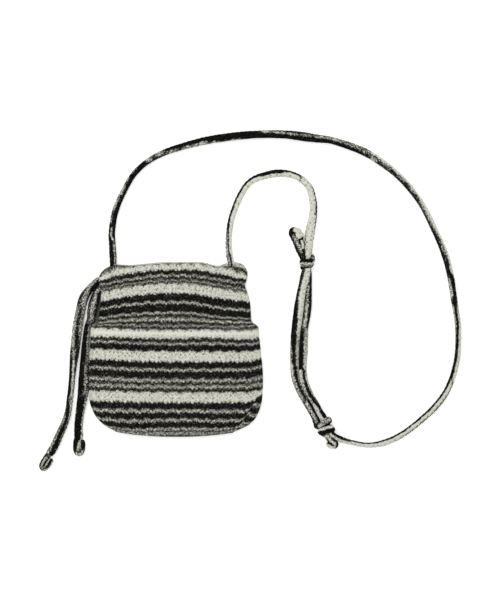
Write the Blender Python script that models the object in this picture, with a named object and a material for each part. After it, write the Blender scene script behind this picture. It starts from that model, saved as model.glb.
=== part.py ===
"""Small knitted shoulder bag with a drawcord casing, a front pocket and a long tied strap.

The bag is empty and lies flat on its back, mouth towards +Y, with its strap and drawcord laid out round it.
Metres, +Z up. The origin is on the floor, under the middle of the bag's own outline.

How it is put together: a back panel and a front panel are joined round their sides and bottom, a pocket
panel is caught in the same seam over the front, and the top edge of both panels is turned over into a
casing. The drawcord's two ends leave the casing at its left end. The strap is a knitted tube in two lengths,
and the end of each length is tied round the other one, so that the knots slide.
"""

import math
from collections import namedtuple

import bmesh
import bpy
from mathutils import Vector

# --- driving dimensions -------------------------------------------------------------------------

CLOTH = 0.0025            # one layer of the knit
CASING_CLOTH = 0.0045     # the casing's two layers
PLY_GAP = 0.0003          # between pieces that touch
SEAM_HEIGHT = 0.0045      # the side seam's height above the floor
CORNER_ACROSS = 5.0       # how square a panel's cross-section is: higher is flatter, with tighter sides
CORNER_UP = 2.2
BACK_FLATNESS = 16.0      # the same for the back, which lies flat on the floor
BACK_SPREAD = 1.06        # how far the flat of the back reaches under its turned-up rim
LIP_STEP = 0.0008         # the back lip stands this far above the mouth's line, and the front lip below it
COURSE_POINTS = 20        # steps across a panel
ROW_STEPS = 2             # steps from one course of the table to the next

STRAP_RADIUS = 0.0039
DRAWCORD_RADIUS = 0.0036
CORD_STEP = 0.0150        # longest step along a cord
KNOT_HEIGHT = 0.0069      # of a knot's middle above the floor
KNOT_BORE = 0.0034        # the strap runs through a knot with a little room
TURNED_END_SIDES = 14

# One course of stitches, from the left seam to the right seam. It bows by mid_y, and a high `bow` keeps the
# middle of it straight. `crown` is the front's height, `rise` how much of it is left as the bottom rolls
# down to its seam, `cloth` the thickness, and `tuck` how far the front's edge lies in under the pocket's.
Course = namedtuple("Course", "left_x left_y mid_y right_x right_y bow crown rise cloth tuck")

COURSES = (
    # the mouth and its casing, down to the casing's stitched edge
    Course(-0.0838, 0.0815, 0.0947, 0.0788, 0.0818, 14.0, 0.0138, 1.00, CASING_CLOTH, 0.0),
    Course(-0.0848, 0.0780, 0.0911, 0.0788, 0.0783, 5.0, 0.0143, 1.00, CASING_CLOTH, 0.0),
    Course(-0.0846, 0.0735, 0.0845, 0.0774, 0.0739, 2.4, 0.0144, 1.00, CASING_CLOTH, 0.0),
    Course(-0.0835, 0.0680, 0.0785, 0.0760, 0.0690, 2.0, 0.0138, 1.00, CASING_CLOTH, 0.0),
    Course(-0.0820, 0.0624, 0.0726, 0.0782, 0.0632, 2.0, 0.0121, 1.00, 0.0030, 0.0),
    # the upper body, gathered a little by the casing
    Course(-0.0823, 0.0560, 0.0668, 0.0805, 0.0565, 2.0, 0.0126, 1.00, CLOTH, 0.0),
    Course(-0.0831, 0.0470, 0.0560, 0.0820, 0.0470, 2.0, 0.0129, 1.00, CLOTH, 0.0),
    Course(-0.0850, 0.0370, 0.0450, 0.0828, 0.0370, 2.2, 0.0129, 1.00, CLOTH, 0.0),
    Course(-0.0890, 0.0285, 0.0340, 0.0870, 0.0285, 2.4, 0.0127, 1.00, CLOTH, 0.0010),
    # the pocket's mouth and its hem
    Course(-0.0930, 0.0242, 0.0229, 0.0908, 0.0216, 4.0, 0.0126, 1.00, CLOTH, 0.0030),
    Course(-0.0938, 0.0130, 0.0120, 0.0918, 0.0115, 4.0, 0.0126, 1.00, CLOTH, 0.0030),
    Course(-0.0943, 0.0075, 0.0065, 0.0925, 0.0060, 4.0, 0.0126, 1.00, CLOTH, 0.0030),
    # the lower body, and its rounded corners
    Course(-0.0948, -0.0100, -0.0108, 0.0943, -0.0105, 4.0, 0.0126, 1.00, CLOTH, 0.0030),
    Course(-0.0953, -0.0280, -0.0285, 0.0957, -0.0280, 4.0, 0.0126, 1.00, CLOTH, 0.0030),
    Course(-0.0958, -0.0450, -0.0452, 0.0956, -0.0450, 4.0, 0.0125, 1.00, CLOTH, 0.0030),
    Course(-0.0946, -0.0585, -0.0590, 0.0946, -0.0575, 3.0, 0.0124, 1.00, CLOTH, 0.0030),
    Course(-0.0907, -0.0695, -0.0706, 0.0912, -0.0690, 2.5, 0.0122, 1.00, CLOTH, 0.0030),
    Course(-0.0850, -0.0780, -0.0805, 0.0866, -0.0775, 2.4, 0.0119, 0.99, CLOTH, 0.0030),
    Course(-0.0772, -0.0848, -0.0884, 0.0791, -0.0844, 2.4, 0.0117, 0.92, CLOTH, 0.0030),
    Course(-0.0708, -0.0884, -0.0933, 0.0712, -0.0882, 2.4, 0.0115, 0.73, CLOTH, 0.0030),
    Course(-0.0664, -0.0909, -0.0962, 0.0652, -0.0908, 2.4, 0.0114, 0.42, CLOTH, 0.0030),
    Course(-0.0636, -0.0920, -0.0971, 0.0604, -0.0934, 2.4, 0.0113, 0.00, CLOTH, 0.0030),
)
CASING_COURSES = 4        # the mouth's wave has died out by the casing's stitched edge
POCKET_TOP = 9            # the course where the pocket panel starts

# The pocket panel, a row for each course from POCKET_TOP down: how far its inside stands off the front
# beyond the ply gap, and its thickness, which is doubled less a little in the turned hem.
PocketRow = namedtuple("PocketRow", "stand_off cloth")

POCKET_ROWS = (
    PocketRow(0.0054, 0.0034),
    PocketRow(0.0053, 0.0034),
    PocketRow(0.0052, CLOTH),
    PocketRow(0.0049, CLOTH),
    PocketRow(0.0040, CLOTH),
    PocketRow(0.0030, CLOTH),
    PocketRow(0.0020, CLOTH),
    PocketRow(0.0012, CLOTH),
    PocketRow(0.0006, CLOTH),
    PocketRow(0.0003, CLOTH),
    PocketRow(0.0000, CLOTH),
    PocketRow(0.0000, CLOTH),
    PocketRow(0.0000, CLOTH),
)

# Unevenness of the mouth's line: across runs from -1 at the left seam to 1 at the right one.
LipWave = namedtuple("LipWave", "across reach lift")

LIP_WAVES = (
    LipWave(-0.60, 0.30, -0.0030),
    LipWave(0.61, 0.15, -0.0042),
    LipWave(0.90, 0.06, 0.0008),
)

# Soft swells and hollows of the front and the pocket, where the empty bag isn't quite flat.
Swell = namedtuple("Swell", "x y reach_x reach_y rise")

SWELLS = (
    Swell(-0.055, 0.050, 0.016, 0.020, 0.0009),
    Swell(-0.020, 0.052, 0.012, 0.018, -0.0007),
    Swell(0.034, 0.046, 0.018, 0.014, 0.0007),
    Swell(0.058, 0.062, 0.010, 0.022, -0.0008),
    Swell(-0.060, -0.040, 0.024, 0.030, 0.0008),
    Swell(0.062, -0.052, 0.022, 0.026, 0.0009),
    Swell(0.004, -0.066, 0.034, 0.016, -0.0007),
)

# Cord routes: (x, y, height of the middle, radius as a share of the cord's own).
STRAP_LONG_ROUTE = (
    (-0.0688, 0.0931, 0.0066, 0.95), (-0.0690, 0.1019, 0.0055, 1.00), (-0.0696, 0.1151, 0.0041, 0.98),
    (-0.0699, 0.1283, 0.0039, 0.98), (-0.0670, 0.1503, 0.0039, 1.00), (-0.0573, 0.1734, 0.0040, 1.02),
    (-0.0452, 0.1926, 0.0041, 1.04), (-0.0274, 0.2082, 0.0040, 1.02), (-0.0054, 0.2185, 0.0041, 1.06),
    (0.0287, 0.2278, 0.0043, 1.10), (0.0617, 0.2330, 0.0043, 1.10), (0.0969, 0.2356, 0.0041, 1.06),
    (0.1365, 0.2333, 0.0043, 1.10), (0.1739, 0.2277, 0.0042, 1.08), (0.2091, 0.2146, 0.0042, 1.08),
    (0.2405, 0.1921, 0.0042, 1.08), (0.2658, 0.1644, 0.0042, 1.08), (0.2836, 0.1302, 0.0041, 1.04),
    (0.2977, 0.0951, 0.0041, 1.04), (0.3043, 0.0601, 0.0039, 1.00), (0.3096, 0.0205, 0.0037, 0.95),
    (0.3083, -0.0136, 0.0037, 0.95), (0.2990, -0.0430, 0.0037, 0.95), (0.2847, -0.0632, 0.0037, 0.95),
    (0.2663, -0.0807, 0.0036, 0.92), (0.2476, -0.0947, 0.0034, 0.87), (0.2300, -0.1026, 0.0034, 0.87),
    (0.2113, -0.1059, 0.0034, 0.87), (0.1915, -0.1034, 0.0036, 0.84), (0.1786, -0.0981, 0.0051, 0.80),
    (0.1720, -0.0936, 0.0069, 0.74), (0.1669, -0.0829, 0.0069, 0.74), (0.1619, -0.0720, 0.0069, 0.74),
    (0.1547, -0.0600, 0.0052, 0.88), (0.1464, -0.0468, 0.0043, 1.08), (0.1419, -0.0290, 0.0044, 1.14),
    (0.1405, -0.0070, 0.0045, 1.14), (0.1413, 0.0183, 0.0044, 1.12), (0.1444, 0.0447, 0.0041, 1.04),
    (0.1465, 0.0678, 0.0036, 0.88), (0.1479, 0.0868, 0.0033, 0.77),
)
STRAP_SHORT_ROUTE = (
    (0.0604, 0.0949, 0.0066, 0.88), (0.0588, 0.1041, 0.0054, 0.88), (0.0580, 0.1162, 0.0038, 0.92),
    (0.0587, 0.1294, 0.0037, 0.92), (0.0615, 0.1448, 0.0037, 0.92), (0.0716, 0.1701, 0.0037, 0.95),
    (0.0826, 0.1834, 0.0038, 0.98), (0.0991, 0.1905, 0.0039, 1.00), (0.1156, 0.1933, 0.0040, 1.02),
    (0.1327, 0.1888, 0.0040, 1.02), (0.1453, 0.1789, 0.0040, 1.02), (0.1508, 0.1635, 0.0041, 1.04),
    (0.1509, 0.1481, 0.0045, 1.14), (0.1485, 0.1316, 0.0049, 1.18), (0.1468, 0.1180, 0.0061, 0.96),
    (0.1458, 0.1061, 0.0069, 0.74), (0.1444, 0.0962, 0.0069, 0.74), (0.1428, 0.0853, 0.0069, 0.74),
    (0.1381, 0.0680, 0.0052, 0.92), (0.1340, 0.0445, 0.0042, 1.08), (0.1307, 0.0183, 0.0044, 1.12),
    (0.1297, -0.0070, 0.0045, 1.14), (0.1312, -0.0290, 0.0044, 1.12), (0.1365, -0.0477, 0.0042, 1.04),
    (0.1450, -0.0622, 0.0042, 0.94), (0.1541, -0.0768, 0.0050, 0.84),
)
DRAWCORD_OUTER_ROUTE = (
    (-0.0862, 0.0746, 0.0052, 0.90), (-0.0909, 0.0727, 0.0046, 0.98), (-0.0971, 0.0670, 0.0040, 1.06),
    (-0.1029, 0.0576, 0.0039, 1.10), (-0.1068, 0.0441, 0.0040, 1.12), (-0.1090, 0.0271, 0.0040, 1.12),
    (-0.1106, 0.0100, 0.0040, 1.10), (-0.1119, -0.0070, 0.0038, 1.06), (-0.1133, -0.0235, 0.0035, 0.96),
    (-0.1147, -0.0400, 0.0033, 0.92), (-0.1169, -0.0565, 0.0034, 0.94), (-0.1191, -0.0708, 0.0035, 0.96),
    (-0.1229, -0.0829, 0.0036, 1.00), (-0.1288, -0.0961, 0.0038, 1.06), (-0.1341, -0.1071, 0.0039, 1.08),
    (-0.1376, -0.1131, 0.0038, 1.06),
)
DRAWCORD_INNER_ROUTE = (
    (-0.0844, 0.0650, 0.0052, 0.88), (-0.0882, 0.0627, 0.0048, 0.96), (-0.0924, 0.0530, 0.0041, 1.10),
    (-0.0949, 0.0386, 0.0041, 1.12), (-0.0977, 0.0252, 0.0041, 1.12), (-0.0991, 0.0100, 0.0043, 1.18),
    (-0.1005, -0.0070, 0.0044, 1.20), (-0.1016, -0.0235, 0.0044, 1.20), (-0.1026, -0.0400, 0.0044, 1.20),
    (-0.1033, -0.0576, 0.0045, 1.24), (-0.1050, -0.0741, 0.0045, 1.24), (-0.1062, -0.0890, 0.0044, 1.20),
    (-0.1067, -0.0964, 0.0043, 1.18),
)

# A knot is wound round its strap: two turns with a groove between them. `along` follows the strap, and
# `offset` is how far the turn's middle lies to one side of it.
Turn = namedtuple("Turn", "along offset half_wide half_high")

UPPER_KNOT_MIDDLE = (0.1444, 0.0962)
UPPER_KNOT_HEADING = (-0.163, -0.987)
UPPER_KNOT_TURNS = (
    Turn(-0.0080, -0.0003, 0.0060, 0.0050),
    Turn(-0.0062, -0.0005, 0.0077, 0.0062),
    Turn(-0.0036, -0.0006, 0.0082, 0.0068),
    Turn(-0.0008, -0.0005, 0.0072, 0.0058),
    Turn(0.0020, -0.0004, 0.0080, 0.0066),
    Turn(0.0048, -0.0003, 0.0077, 0.0063),
    Turn(0.0070, -0.0002, 0.0063, 0.0054),
    Turn(0.0080, 0.0, 0.0053, 0.0047),
)
LOWER_KNOT_MIDDLE = (0.1669, -0.0829)
LOWER_KNOT_HEADING = (0.420, -0.907)
LOWER_KNOT_TURNS = (
    Turn(-0.0095, -0.0034, 0.0082, 0.0050),
    Turn(-0.0082, -0.0038, 0.0096, 0.0062),
    Turn(-0.0052, -0.0040, 0.0101, 0.0068),
    Turn(-0.0022, -0.0040, 0.0094, 0.0062),
    Turn(0.0002, -0.0036, 0.0080, 0.0054),
    Turn(0.0026, -0.0042, 0.0090, 0.0062),
    Turn(0.0054, -0.0044, 0.0093, 0.0066),
    Turn(0.0082, -0.0038, 0.0083, 0.0058),
    Turn(0.0095, -0.0028, 0.0070, 0.0048),
)

# A turned end: the cord's last stretch, folded back on itself beside the cord and stitched down.
Station = namedtuple("Station", "x y z half_wide half_high")

UPPER_TURNED_END = (
    Station(0.1395, 0.1060, 0.0045, 0.0030, 0.0030),
    Station(0.1383, 0.1085, 0.0045, 0.0036, 0.0034),
    Station(0.1357, 0.1135, 0.0045, 0.0046, 0.0038),
    Station(0.1330, 0.1182, 0.0046, 0.0060, 0.0041),
    Station(0.1310, 0.1222, 0.0047, 0.0072, 0.0044),
    Station(0.1301, 0.1262, 0.0047, 0.0072, 0.0044),
    Station(0.1298, 0.1297, 0.0046, 0.0056, 0.0040),
    Station(0.1297, 0.1315, 0.0043, 0.0034, 0.0028),
)
LOWER_TURNED_END = (
    Station(0.1652, -0.0951, 0.0052, 0.0030, 0.0032),
    Station(0.1673, -0.0987, 0.0047, 0.0034, 0.0034),
    Station(0.1694, -0.1022, 0.0046, 0.0055, 0.0040),
    Station(0.1712, -0.1052, 0.0047, 0.0072, 0.0044),
    Station(0.1726, -0.1078, 0.0045, 0.0063, 0.0040),
    Station(0.1736, -0.1095, 0.0042, 0.0036, 0.0028),
)
OUTER_TURNED_END = (
    Station(-0.1378, -0.1135, 0.0040, 0.0038, 0.0036),
    Station(-0.1391, -0.1158, 0.0042, 0.0050, 0.0038),
    Station(-0.1403, -0.1187, 0.0043, 0.0070, 0.0041),
    Station(-0.1425, -0.1237, 0.0044, 0.0075, 0.0042),
    Station(-0.1448, -0.1290, 0.0043, 0.0062, 0.0041),
    Station(-0.1461, -0.1320, 0.0041, 0.0036, 0.0030),
)
INNER_TURNED_END = (
    Station(-0.1067, -0.0971, 0.0044, 0.0042, 0.0038),
    Station(-0.1067, -0.0994, 0.0045, 0.0056, 0.0041),
    Station(-0.1067, -0.1030, 0.0046, 0.0064, 0.0043),
    Station(-0.1069, -0.1090, 0.0046, 0.0065, 0.0043),
    Station(-0.1071, -0.1145, 0.0045, 0.0060, 0.0041),
    Station(-0.1072, -0.1172, 0.0042, 0.0040, 0.0030),
)

# --- materials ----------------------------------------------------------------------------------

PANEL_COLOUR = (0.32, 0.32, 0.29)
POCKET_COLOUR = (0.40, 0.40, 0.36)
STRAP_COLOUR = (0.30, 0.30, 0.28)
DRAWCORD_COLOUR = (0.12, 0.12, 0.11)
KNIT_ROUGHNESS = 0.95


def knit_material(name, colour):
    material = bpy.data.materials.new(name)
    material.use_nodes = True
    shader = material.node_tree.nodes["Principled BSDF"]
    shader.inputs["Base Color"].default_value = (*colour, 1.0)
    shader.inputs["Roughness"].default_value = KNIT_ROUGHNESS
    shader.inputs["Metallic"].default_value = 0.0
    material.diffuse_color = (*colour, 1.0)
    return material


# --- smooth curves ------------------------------------------------------------------------------


def blend(before, start, end, after, share):
    """The value a share of the way from start to end, on a smooth curve through all four."""
    leave = (end - before) / 2
    arrive = (after - start) / 2
    s2, s3 = share * share, share ** 3
    return (
        (2 * s3 - 3 * s2 + 1) * start
        + (s3 - 2 * s2 + share) * leave
        + (3 * s2 - 2 * s3) * end
        + (s3 - s2) * arrive
    )


def between(rows, steps):
    """The table's rows with steps - 1 smooth ones between each two, of the same named columns."""
    found = []
    for i in range(len(rows) - 1):
        four = [rows[max(i - 1, 0)], rows[i], rows[i + 1], rows[min(i + 2, len(rows) - 1)]]
        for step in range(steps):
            found.append(type(rows[0])(*(blend(*column, step / steps) for column in zip(*four))))
    return found + [rows[-1]]


def along_route(route, longest_step):
    """Points on a smooth curve through the route, with every point of the route among them."""
    points = [Vector(p) for p in route]
    ahead = [(b.to_3d() - a.to_3d()).length for a, b in zip(points, points[1:])]
    tangents = []
    for i in range(len(points)):
        low, high = max(i - 1, 0), min(i + 1, len(points) - 1)
        tangents.append((points[high] - points[low]) / sum(ahead[low:high]))
    found = []
    for i, length in enumerate(ahead):
        steps = math.ceil(length / longest_step)
        for step in range(steps):
            s = step / steps
            s2, s3 = s * s, s ** 3
            found.append(
                points[i] * (2 * s3 - 3 * s2 + 1)
                + tangents[i] * (length * (s3 - 2 * s2 + s))
                + points[i + 1] * (3 * s2 - 2 * s3)
                + tangents[i + 1] * (length * (s3 - s2))
            )
    return found + [points[-1]]


# --- mesh helpers -------------------------------------------------------------------------------


def finish_mesh(name, bm, material, smooth_below):
    bmesh.ops.recalc_face_normals(bm, faces=bm.faces)
    mesh = bpy.data.meshes.new(name)
    bm.to_mesh(mesh)
    bm.free()
    mesh.materials.append(material)
    mesh.shade_smooth()
    mesh.set_sharp_from_angle(angle=smooth_below)
    made = bpy.data.objects.new(name, mesh)
    bpy.context.scene.collection.objects.link(made)
    return made


def sheet(name, outside, inside, material):
    """A closed solid between two grids of points with the same rows and columns."""
    bm = bmesh.new()
    faces = [[[bm.verts.new(p) for p in row] for row in grid] for grid in (outside, inside)]
    last_row, last_column = len(outside) - 1, len(outside[0]) - 1
    for grid in faces:
        for i in range(last_row):
            for j in range(last_column):
                bm.faces.new((grid[i][j], grid[i][j + 1], grid[i + 1][j + 1], grid[i + 1][j]))
    rim = [(0, j) for j in range(last_column)]
    rim += [(i, last_column) for i in range(last_row)]
    rim += [(last_row, j) for j in range(last_column, 0, -1)]
    rim += [(i, 0) for i in range(last_row, 0, -1)]
    for (i, j), (k, m) in zip(rim, rim[1:] + rim[:1]):
        bm.faces.new((faces[0][i][j], faces[0][k][m], faces[1][k][m], faces[1][i][j]))
    return finish_mesh(name, bm, material, math.radians(50))


def ellipse_ring(middle, heading, half_wide, half_high):
    across = Vector((-heading.y, heading.x, 0)).normalized()
    up = Vector((0, 0, 1))
    turn = 2 * math.pi / TURNED_END_SIDES
    return [
        middle + across * half_wide * math.cos(k * turn) + up * half_high * math.sin(k * turn)
        for k in range(TURNED_END_SIDES)
    ]


def join_rings(bm, first, second):
    count = len(first)
    for k in range(count):
        n = (k + 1) % count
        bm.faces.new((first[k], first[n], second[n], second[k]))


# --- the panels ---------------------------------------------------------------------------------


def lip_lift(across):
    return sum(w.lift * math.exp(-(((across - w.across) / w.reach) ** 2)) for w in LIP_WAVES)


def swell_at(x, y):
    return sum(
        w.rise * math.exp(-(((x - w.x) / w.reach_x) ** 2) - ((y - w.y) / w.reach_y) ** 2) for w in SWELLS
    )


def on_course(row, across, inset):
    """The place in plan, a share across the course, with the seam drawn in by the inset."""
    left, right = row.left_x + inset, row.right_x - inset
    x = left + (right - left) * (across + 1) / 2
    ends_y = row.left_y + (row.right_y - row.left_y) * (across + 1) / 2
    bowed = (row.mid_y - (row.left_y + row.right_y) / 2) * (1 - abs(across) ** row.bow)
    drawn_in = inset * math.sqrt(max(0.0, 1 - row.rise ** 2))
    return x, ends_y + bowed + drawn_in


def panel_grid(rows, height, inset, lip):
    """Points of one face of a panel: height(row, across, x, y) gives z, and inset(row) draws the seam in."""
    grid = []
    for i, row in enumerate(rows):
        mouth_share = max(0.0, 1 - i / (CASING_COURSES * ROW_STEPS)) if lip is not None else 0.0
        points = []
        for j in range(COURSE_POINTS + 1):
            across = math.sin(math.pi / 2 * (2 * j / COURSE_POINTS - 1))
            x, y = on_course(row, across, inset(row))
            if mouth_share:
                y += mouth_share * (lip_lift(across) + lip * (1 - across ** 4))
            points.append(Vector((x, y, height(row, across, x, y))))
        grid.append(points)
    return grid


def side_fall(across):
    """1 in the middle of a panel and 0 at its side seams."""
    return max(0.0, 1 - abs(across) ** CORNER_ACROSS) ** (1 / CORNER_UP)


def front_height(row, across, x, y, below=0.0, above=0.0):
    """The front panel's height: `below` for its inner face, `above` for the pocket's faces."""
    seam = SEAM_HEIGHT + PLY_GAP
    fall = side_fall(across) * max(0.0, row.rise)
    return seam + (row.crown - below + above + swell_at(x, y) - seam) * fall


def back_height(row, across, x, y, cloth=0.0):
    """The back panel's height: flat on the floor, with its rim turned up to the side seam."""
    flat = max(0.0, 1 - abs(across) ** BACK_FLATNESS) ** 0.5 * max(0.0, row.rise) ** 0.35
    turned_up = 1 - min(1.0, BACK_SPREAD * flat)
    if flat <= 0.0:
        turned_up = 1.0
    return cloth + (SEAM_HEIGHT - cloth) * turned_up


def back_panel():
    rows = between(COURSES, ROW_STEPS)
    outside = panel_grid(rows, back_height, lambda row: 0.0, LIP_STEP)
    inside = panel_grid(
        rows,
        lambda row, across, x, y: back_height(row, across, x, y, row.cloth),
        lambda row: row.tuck + row.cloth,
        LIP_STEP,
    )
    return sheet("back_panel", outside, inside, knit_material("back_knit", PANEL_COLOUR))


def front_panel():
    rows = between(COURSES, ROW_STEPS)
    outside = panel_grid(rows, front_height, lambda row: row.tuck, -LIP_STEP)
    inside = panel_grid(
        rows,
        lambda row, across, x, y: front_height(row, across, x, y, below=row.cloth),
        lambda row: row.tuck + row.cloth,
        -LIP_STEP,
    )
    return sheet("front_panel", outside, inside, knit_material("front_knit", PANEL_COLOUR))


def front_pocket():
    rows = between(COURSES, ROW_STEPS)[POCKET_TOP * ROW_STEPS:]
    pocket_rows = between(POCKET_ROWS, ROW_STEPS)
    of_row = {id(row): pocket_row for row, pocket_row in zip(rows, pocket_rows)}

    def height(row, across, x, y, cloth=0.0):
        off = PLY_GAP + of_row[id(row)].stand_off * (1 - across ** 4)
        return front_height(row, across, x, y, above=off + cloth)

    outside = panel_grid(
        rows, lambda row, across, x, y: height(row, across, x, y, of_row[id(row)].cloth), lambda row: 0.0, None
    )
    inside = panel_grid(rows, height, lambda row: CLOTH, None)
    return sheet("front_pocket", outside, inside, knit_material("pocket_knit", POCKET_COLOUR))


# --- the cords ----------------------------------------------------------------------------------


def cord(name, route, radius, material):
    """A knitted tube: one poly spline with round ends left plain, lying on the floor."""
    points = along_route(route, CORD_STEP)
    curve = bpy.data.curves.new(name, "CURVE")
    curve.dimensions = "3D"
    curve.bevel_depth = radius
    curve.bevel_resolution = 2
    curve.use_fill_caps = True
    curve.twist_mode = "Z_UP"
    spline = curve.splines.new("POLY")
    spline.points.add(len(points) - 1)
    for point, (x, y, z, share) in zip(spline.points, points):
        point.co = (x, y, max(z, radius * share), 1.0)
        point.radius = share
    spline.use_smooth = True
    curve.materials.append(material)
    made = bpy.data.objects.new(name, curve)
    bpy.context.scene.collection.objects.link(made)
    return made


def knot(name, middle, heading, turns, material):
    """The turns of one strap's end round the other strap, which runs through the bore."""
    ahead = Vector((*heading, 0.0)).normalized()
    across = Vector((-ahead.y, ahead.x, 0.0))
    centre = Vector((*middle, KNOT_HEIGHT))
    bm = bmesh.new()
    outer, bore = [], []
    for turn in turns:
        on_strap = centre + ahead * turn.along
        ring = ellipse_ring(on_strap + across * turn.offset, ahead, turn.half_wide, turn.half_high)
        outer.append([bm.verts.new(p) for p in ring])
        bore.append([bm.verts.new(p) for p in ellipse_ring(on_strap, ahead, KNOT_BORE, KNOT_BORE)])
    for rings in (outer, bore):
        for first, second in zip(rings, rings[1:]):
            join_rings(bm, first, second)
    join_rings(bm, outer[0], bore[0])
    join_rings(bm, outer[-1], bore[-1])
    return finish_mesh(name, bm, material, math.radians(60))


def turned_end(name, stations, material):
    """The rounded lump of a cord's folded-back end."""
    middles = [Vector((s.x, s.y, s.z)) for s in stations]
    bm = bmesh.new()
    rings = []
    for i, station in enumerate(stations):
        heading = middles[min(i + 1, len(middles) - 1)] - middles[max(i - 1, 0)]
        ring = ellipse_ring(middles[i], heading, station.half_wide, station.half_high)
        rings.append([bm.verts.new(p) for p in ring])
    for first, second in zip(rings, rings[1:]):
        join_rings(bm, first, second)
    bm.faces.new(rings[0])
    bm.faces.new(rings[-1])
    return finish_mesh(name, bm, material, math.radians(60))


def straps():
    material = knit_material("strap_knit", STRAP_COLOUR)
    cord("strap_long", STRAP_LONG_ROUTE, STRAP_RADIUS, material)
    cord("strap_short", STRAP_SHORT_ROUTE, STRAP_RADIUS, material)
    knot("upper_knot", UPPER_KNOT_MIDDLE, UPPER_KNOT_HEADING, UPPER_KNOT_TURNS, material)
    knot("lower_knot", LOWER_KNOT_MIDDLE, LOWER_KNOT_HEADING, LOWER_KNOT_TURNS, material)
    turned_end("upper_turned_end", UPPER_TURNED_END, material)
    turned_end("lower_turned_end", LOWER_TURNED_END, material)


def drawcord():
    material = knit_material("drawcord_knit", DRAWCORD_COLOUR)
    cord("drawcord_outer", DRAWCORD_OUTER_ROUTE, DRAWCORD_RADIUS, material)
    cord("drawcord_inner", DRAWCORD_INNER_ROUTE, DRAWCORD_RADIUS, material)
    turned_end("outer_turned_end", OUTER_TURNED_END, material)
    turned_end("inner_turned_end", INNER_TURNED_END, material)


def main():
    for old in list(bpy.data.objects):
        bpy.data.objects.remove(old)
    back_panel()
    front_panel()
    front_pocket()
    straps()
    drawcord()


main()
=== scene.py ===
"""Small knitted shoulder bag: two striped panels with a drawcord casing, a front pocket and a tied strap."""

import math
from collections import namedtuple

import bpy
import numpy as np
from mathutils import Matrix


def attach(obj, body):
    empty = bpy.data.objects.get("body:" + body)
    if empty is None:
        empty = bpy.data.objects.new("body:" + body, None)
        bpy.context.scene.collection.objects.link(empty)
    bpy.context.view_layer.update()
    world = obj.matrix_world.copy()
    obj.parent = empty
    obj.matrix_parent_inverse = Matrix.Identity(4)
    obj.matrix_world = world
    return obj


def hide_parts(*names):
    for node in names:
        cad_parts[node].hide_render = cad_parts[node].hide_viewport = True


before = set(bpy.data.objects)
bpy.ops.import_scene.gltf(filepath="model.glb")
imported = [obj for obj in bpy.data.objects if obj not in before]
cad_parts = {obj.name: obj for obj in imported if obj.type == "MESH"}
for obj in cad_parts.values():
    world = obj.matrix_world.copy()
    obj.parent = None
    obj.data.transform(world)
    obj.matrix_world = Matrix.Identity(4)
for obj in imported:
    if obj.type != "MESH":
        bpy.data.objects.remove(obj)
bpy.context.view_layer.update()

# --- where it lies ------------------------------------------------------------------------------
# The empty bag is laid flat on a white table and looked at from straight above. The table is lit a little
# from below and the room is white all round; one broad soft lamp gives the knit its shading.

VIEW_MIDDLE = (0.0815, 0.0535)
VIEW_HEIGHT = 3.667          # with this lens the view is 0.66 m from top to bottom on the table
LENS_MM = 200.0
TABLE = 3.0
TABLE_DROP = 0.0002          # keeps the table's face clear of the bag's underside
WHITE = (1.0, 1.0, 1.0, 1.0)
TABLE_WHITE = (0.93, 0.93, 0.93, 1.0)
TABLE_GLOW = 0.40
LAMP_PLACE = (-0.45, 0.75, 1.50)
LAMP_SIZE = 1.0
LAMP_WATTS = 9.0
ROOM_STRENGTH = 0.80

scene = bpy.context.scene
scene.view_settings.view_transform = "Standard"

camera = bpy.data.objects.new("camera", bpy.data.cameras.new("camera"))
camera.location = (*VIEW_MIDDLE, VIEW_HEIGHT)
camera.data.lens = LENS_MM
scene.collection.objects.link(camera)
scene.camera = camera

room = bpy.data.worlds.new("white_room")
room.use_nodes = True
room.node_tree.nodes["Background"].inputs["Color"].default_value = WHITE
room.node_tree.nodes["Background"].inputs["Strength"].default_value = ROOM_STRENGTH
scene.world = room

lamp = bpy.data.objects.new("lamp", bpy.data.lights.new("lamp", "AREA"))
lamp.data.size = LAMP_SIZE
lamp.data.energy = LAMP_WATTS
lamp.location = LAMP_PLACE
aim = np.array([*VIEW_MIDDLE, 0.0]) - LAMP_PLACE
lamp.rotation_euler = (math.atan2(math.hypot(aim[0], aim[1]), -aim[2]), 0.0, math.atan2(-aim[0], aim[1]))
scene.collection.objects.link(lamp)

table_mesh = bpy.data.meshes.new("table")
table_corners = [(x * TABLE / 2, y * TABLE / 2, -TABLE_DROP) for x, y in ((-1, -1), (1, -1), (1, 1), (-1, 1))]
table_mesh.from_pydata(table_corners, [], [(0, 1, 2, 3)])
table_paint = bpy.data.materials.new("table_paint")
table_paint.use_nodes = True
paint = table_paint.node_tree.nodes["Principled BSDF"].inputs
paint["Base Color"].default_value = TABLE_WHITE
paint["Roughness"].default_value = 0.9
paint["Specular IOR Level"].default_value = 0.1
paint["Emission Color"].default_value = WHITE
paint["Emission Strength"].default_value = TABLE_GLOW
table_mesh.materials.append(table_paint)
table = bpy.data.objects.new("table", table_mesh)
scene.collection.objects.link(table)

# --- the strap's long length --------------------------------------------------------------------
# A strip of the same striped knit, cut across its stripes' run and sewn into a soft tube, so that the
# stripes run along it in streaks. It leaves the mouth's left end, goes round, and ends in the upper knot.

WALE = 0.0049                # one column of stitches
LEAN = 0.8                   # how far a stitch's legs rise outwards, in courses
TUBE_COURSES = 7             # rows of stitches round a tube
TUBE_SIDES = 28
TUBE_LEVEL = 0.6             # the share of a stitch's height that lies inside the tube's own radius
TUBE_WAVER = 0.035           # how much its width wavers along it
TUBE_LUMPS = 0.02
RING_STEP = 0.0008
END_ROUNDING = 0.0025        # how far from its tip a tube begins to close
STITCH_DEPTH = 0.0005
STREAK_EDGE = 0.16           # half the width of the change from one streak to the next
STREAK_WANDER = 0.13         # how far the streaks' edges stray

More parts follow.
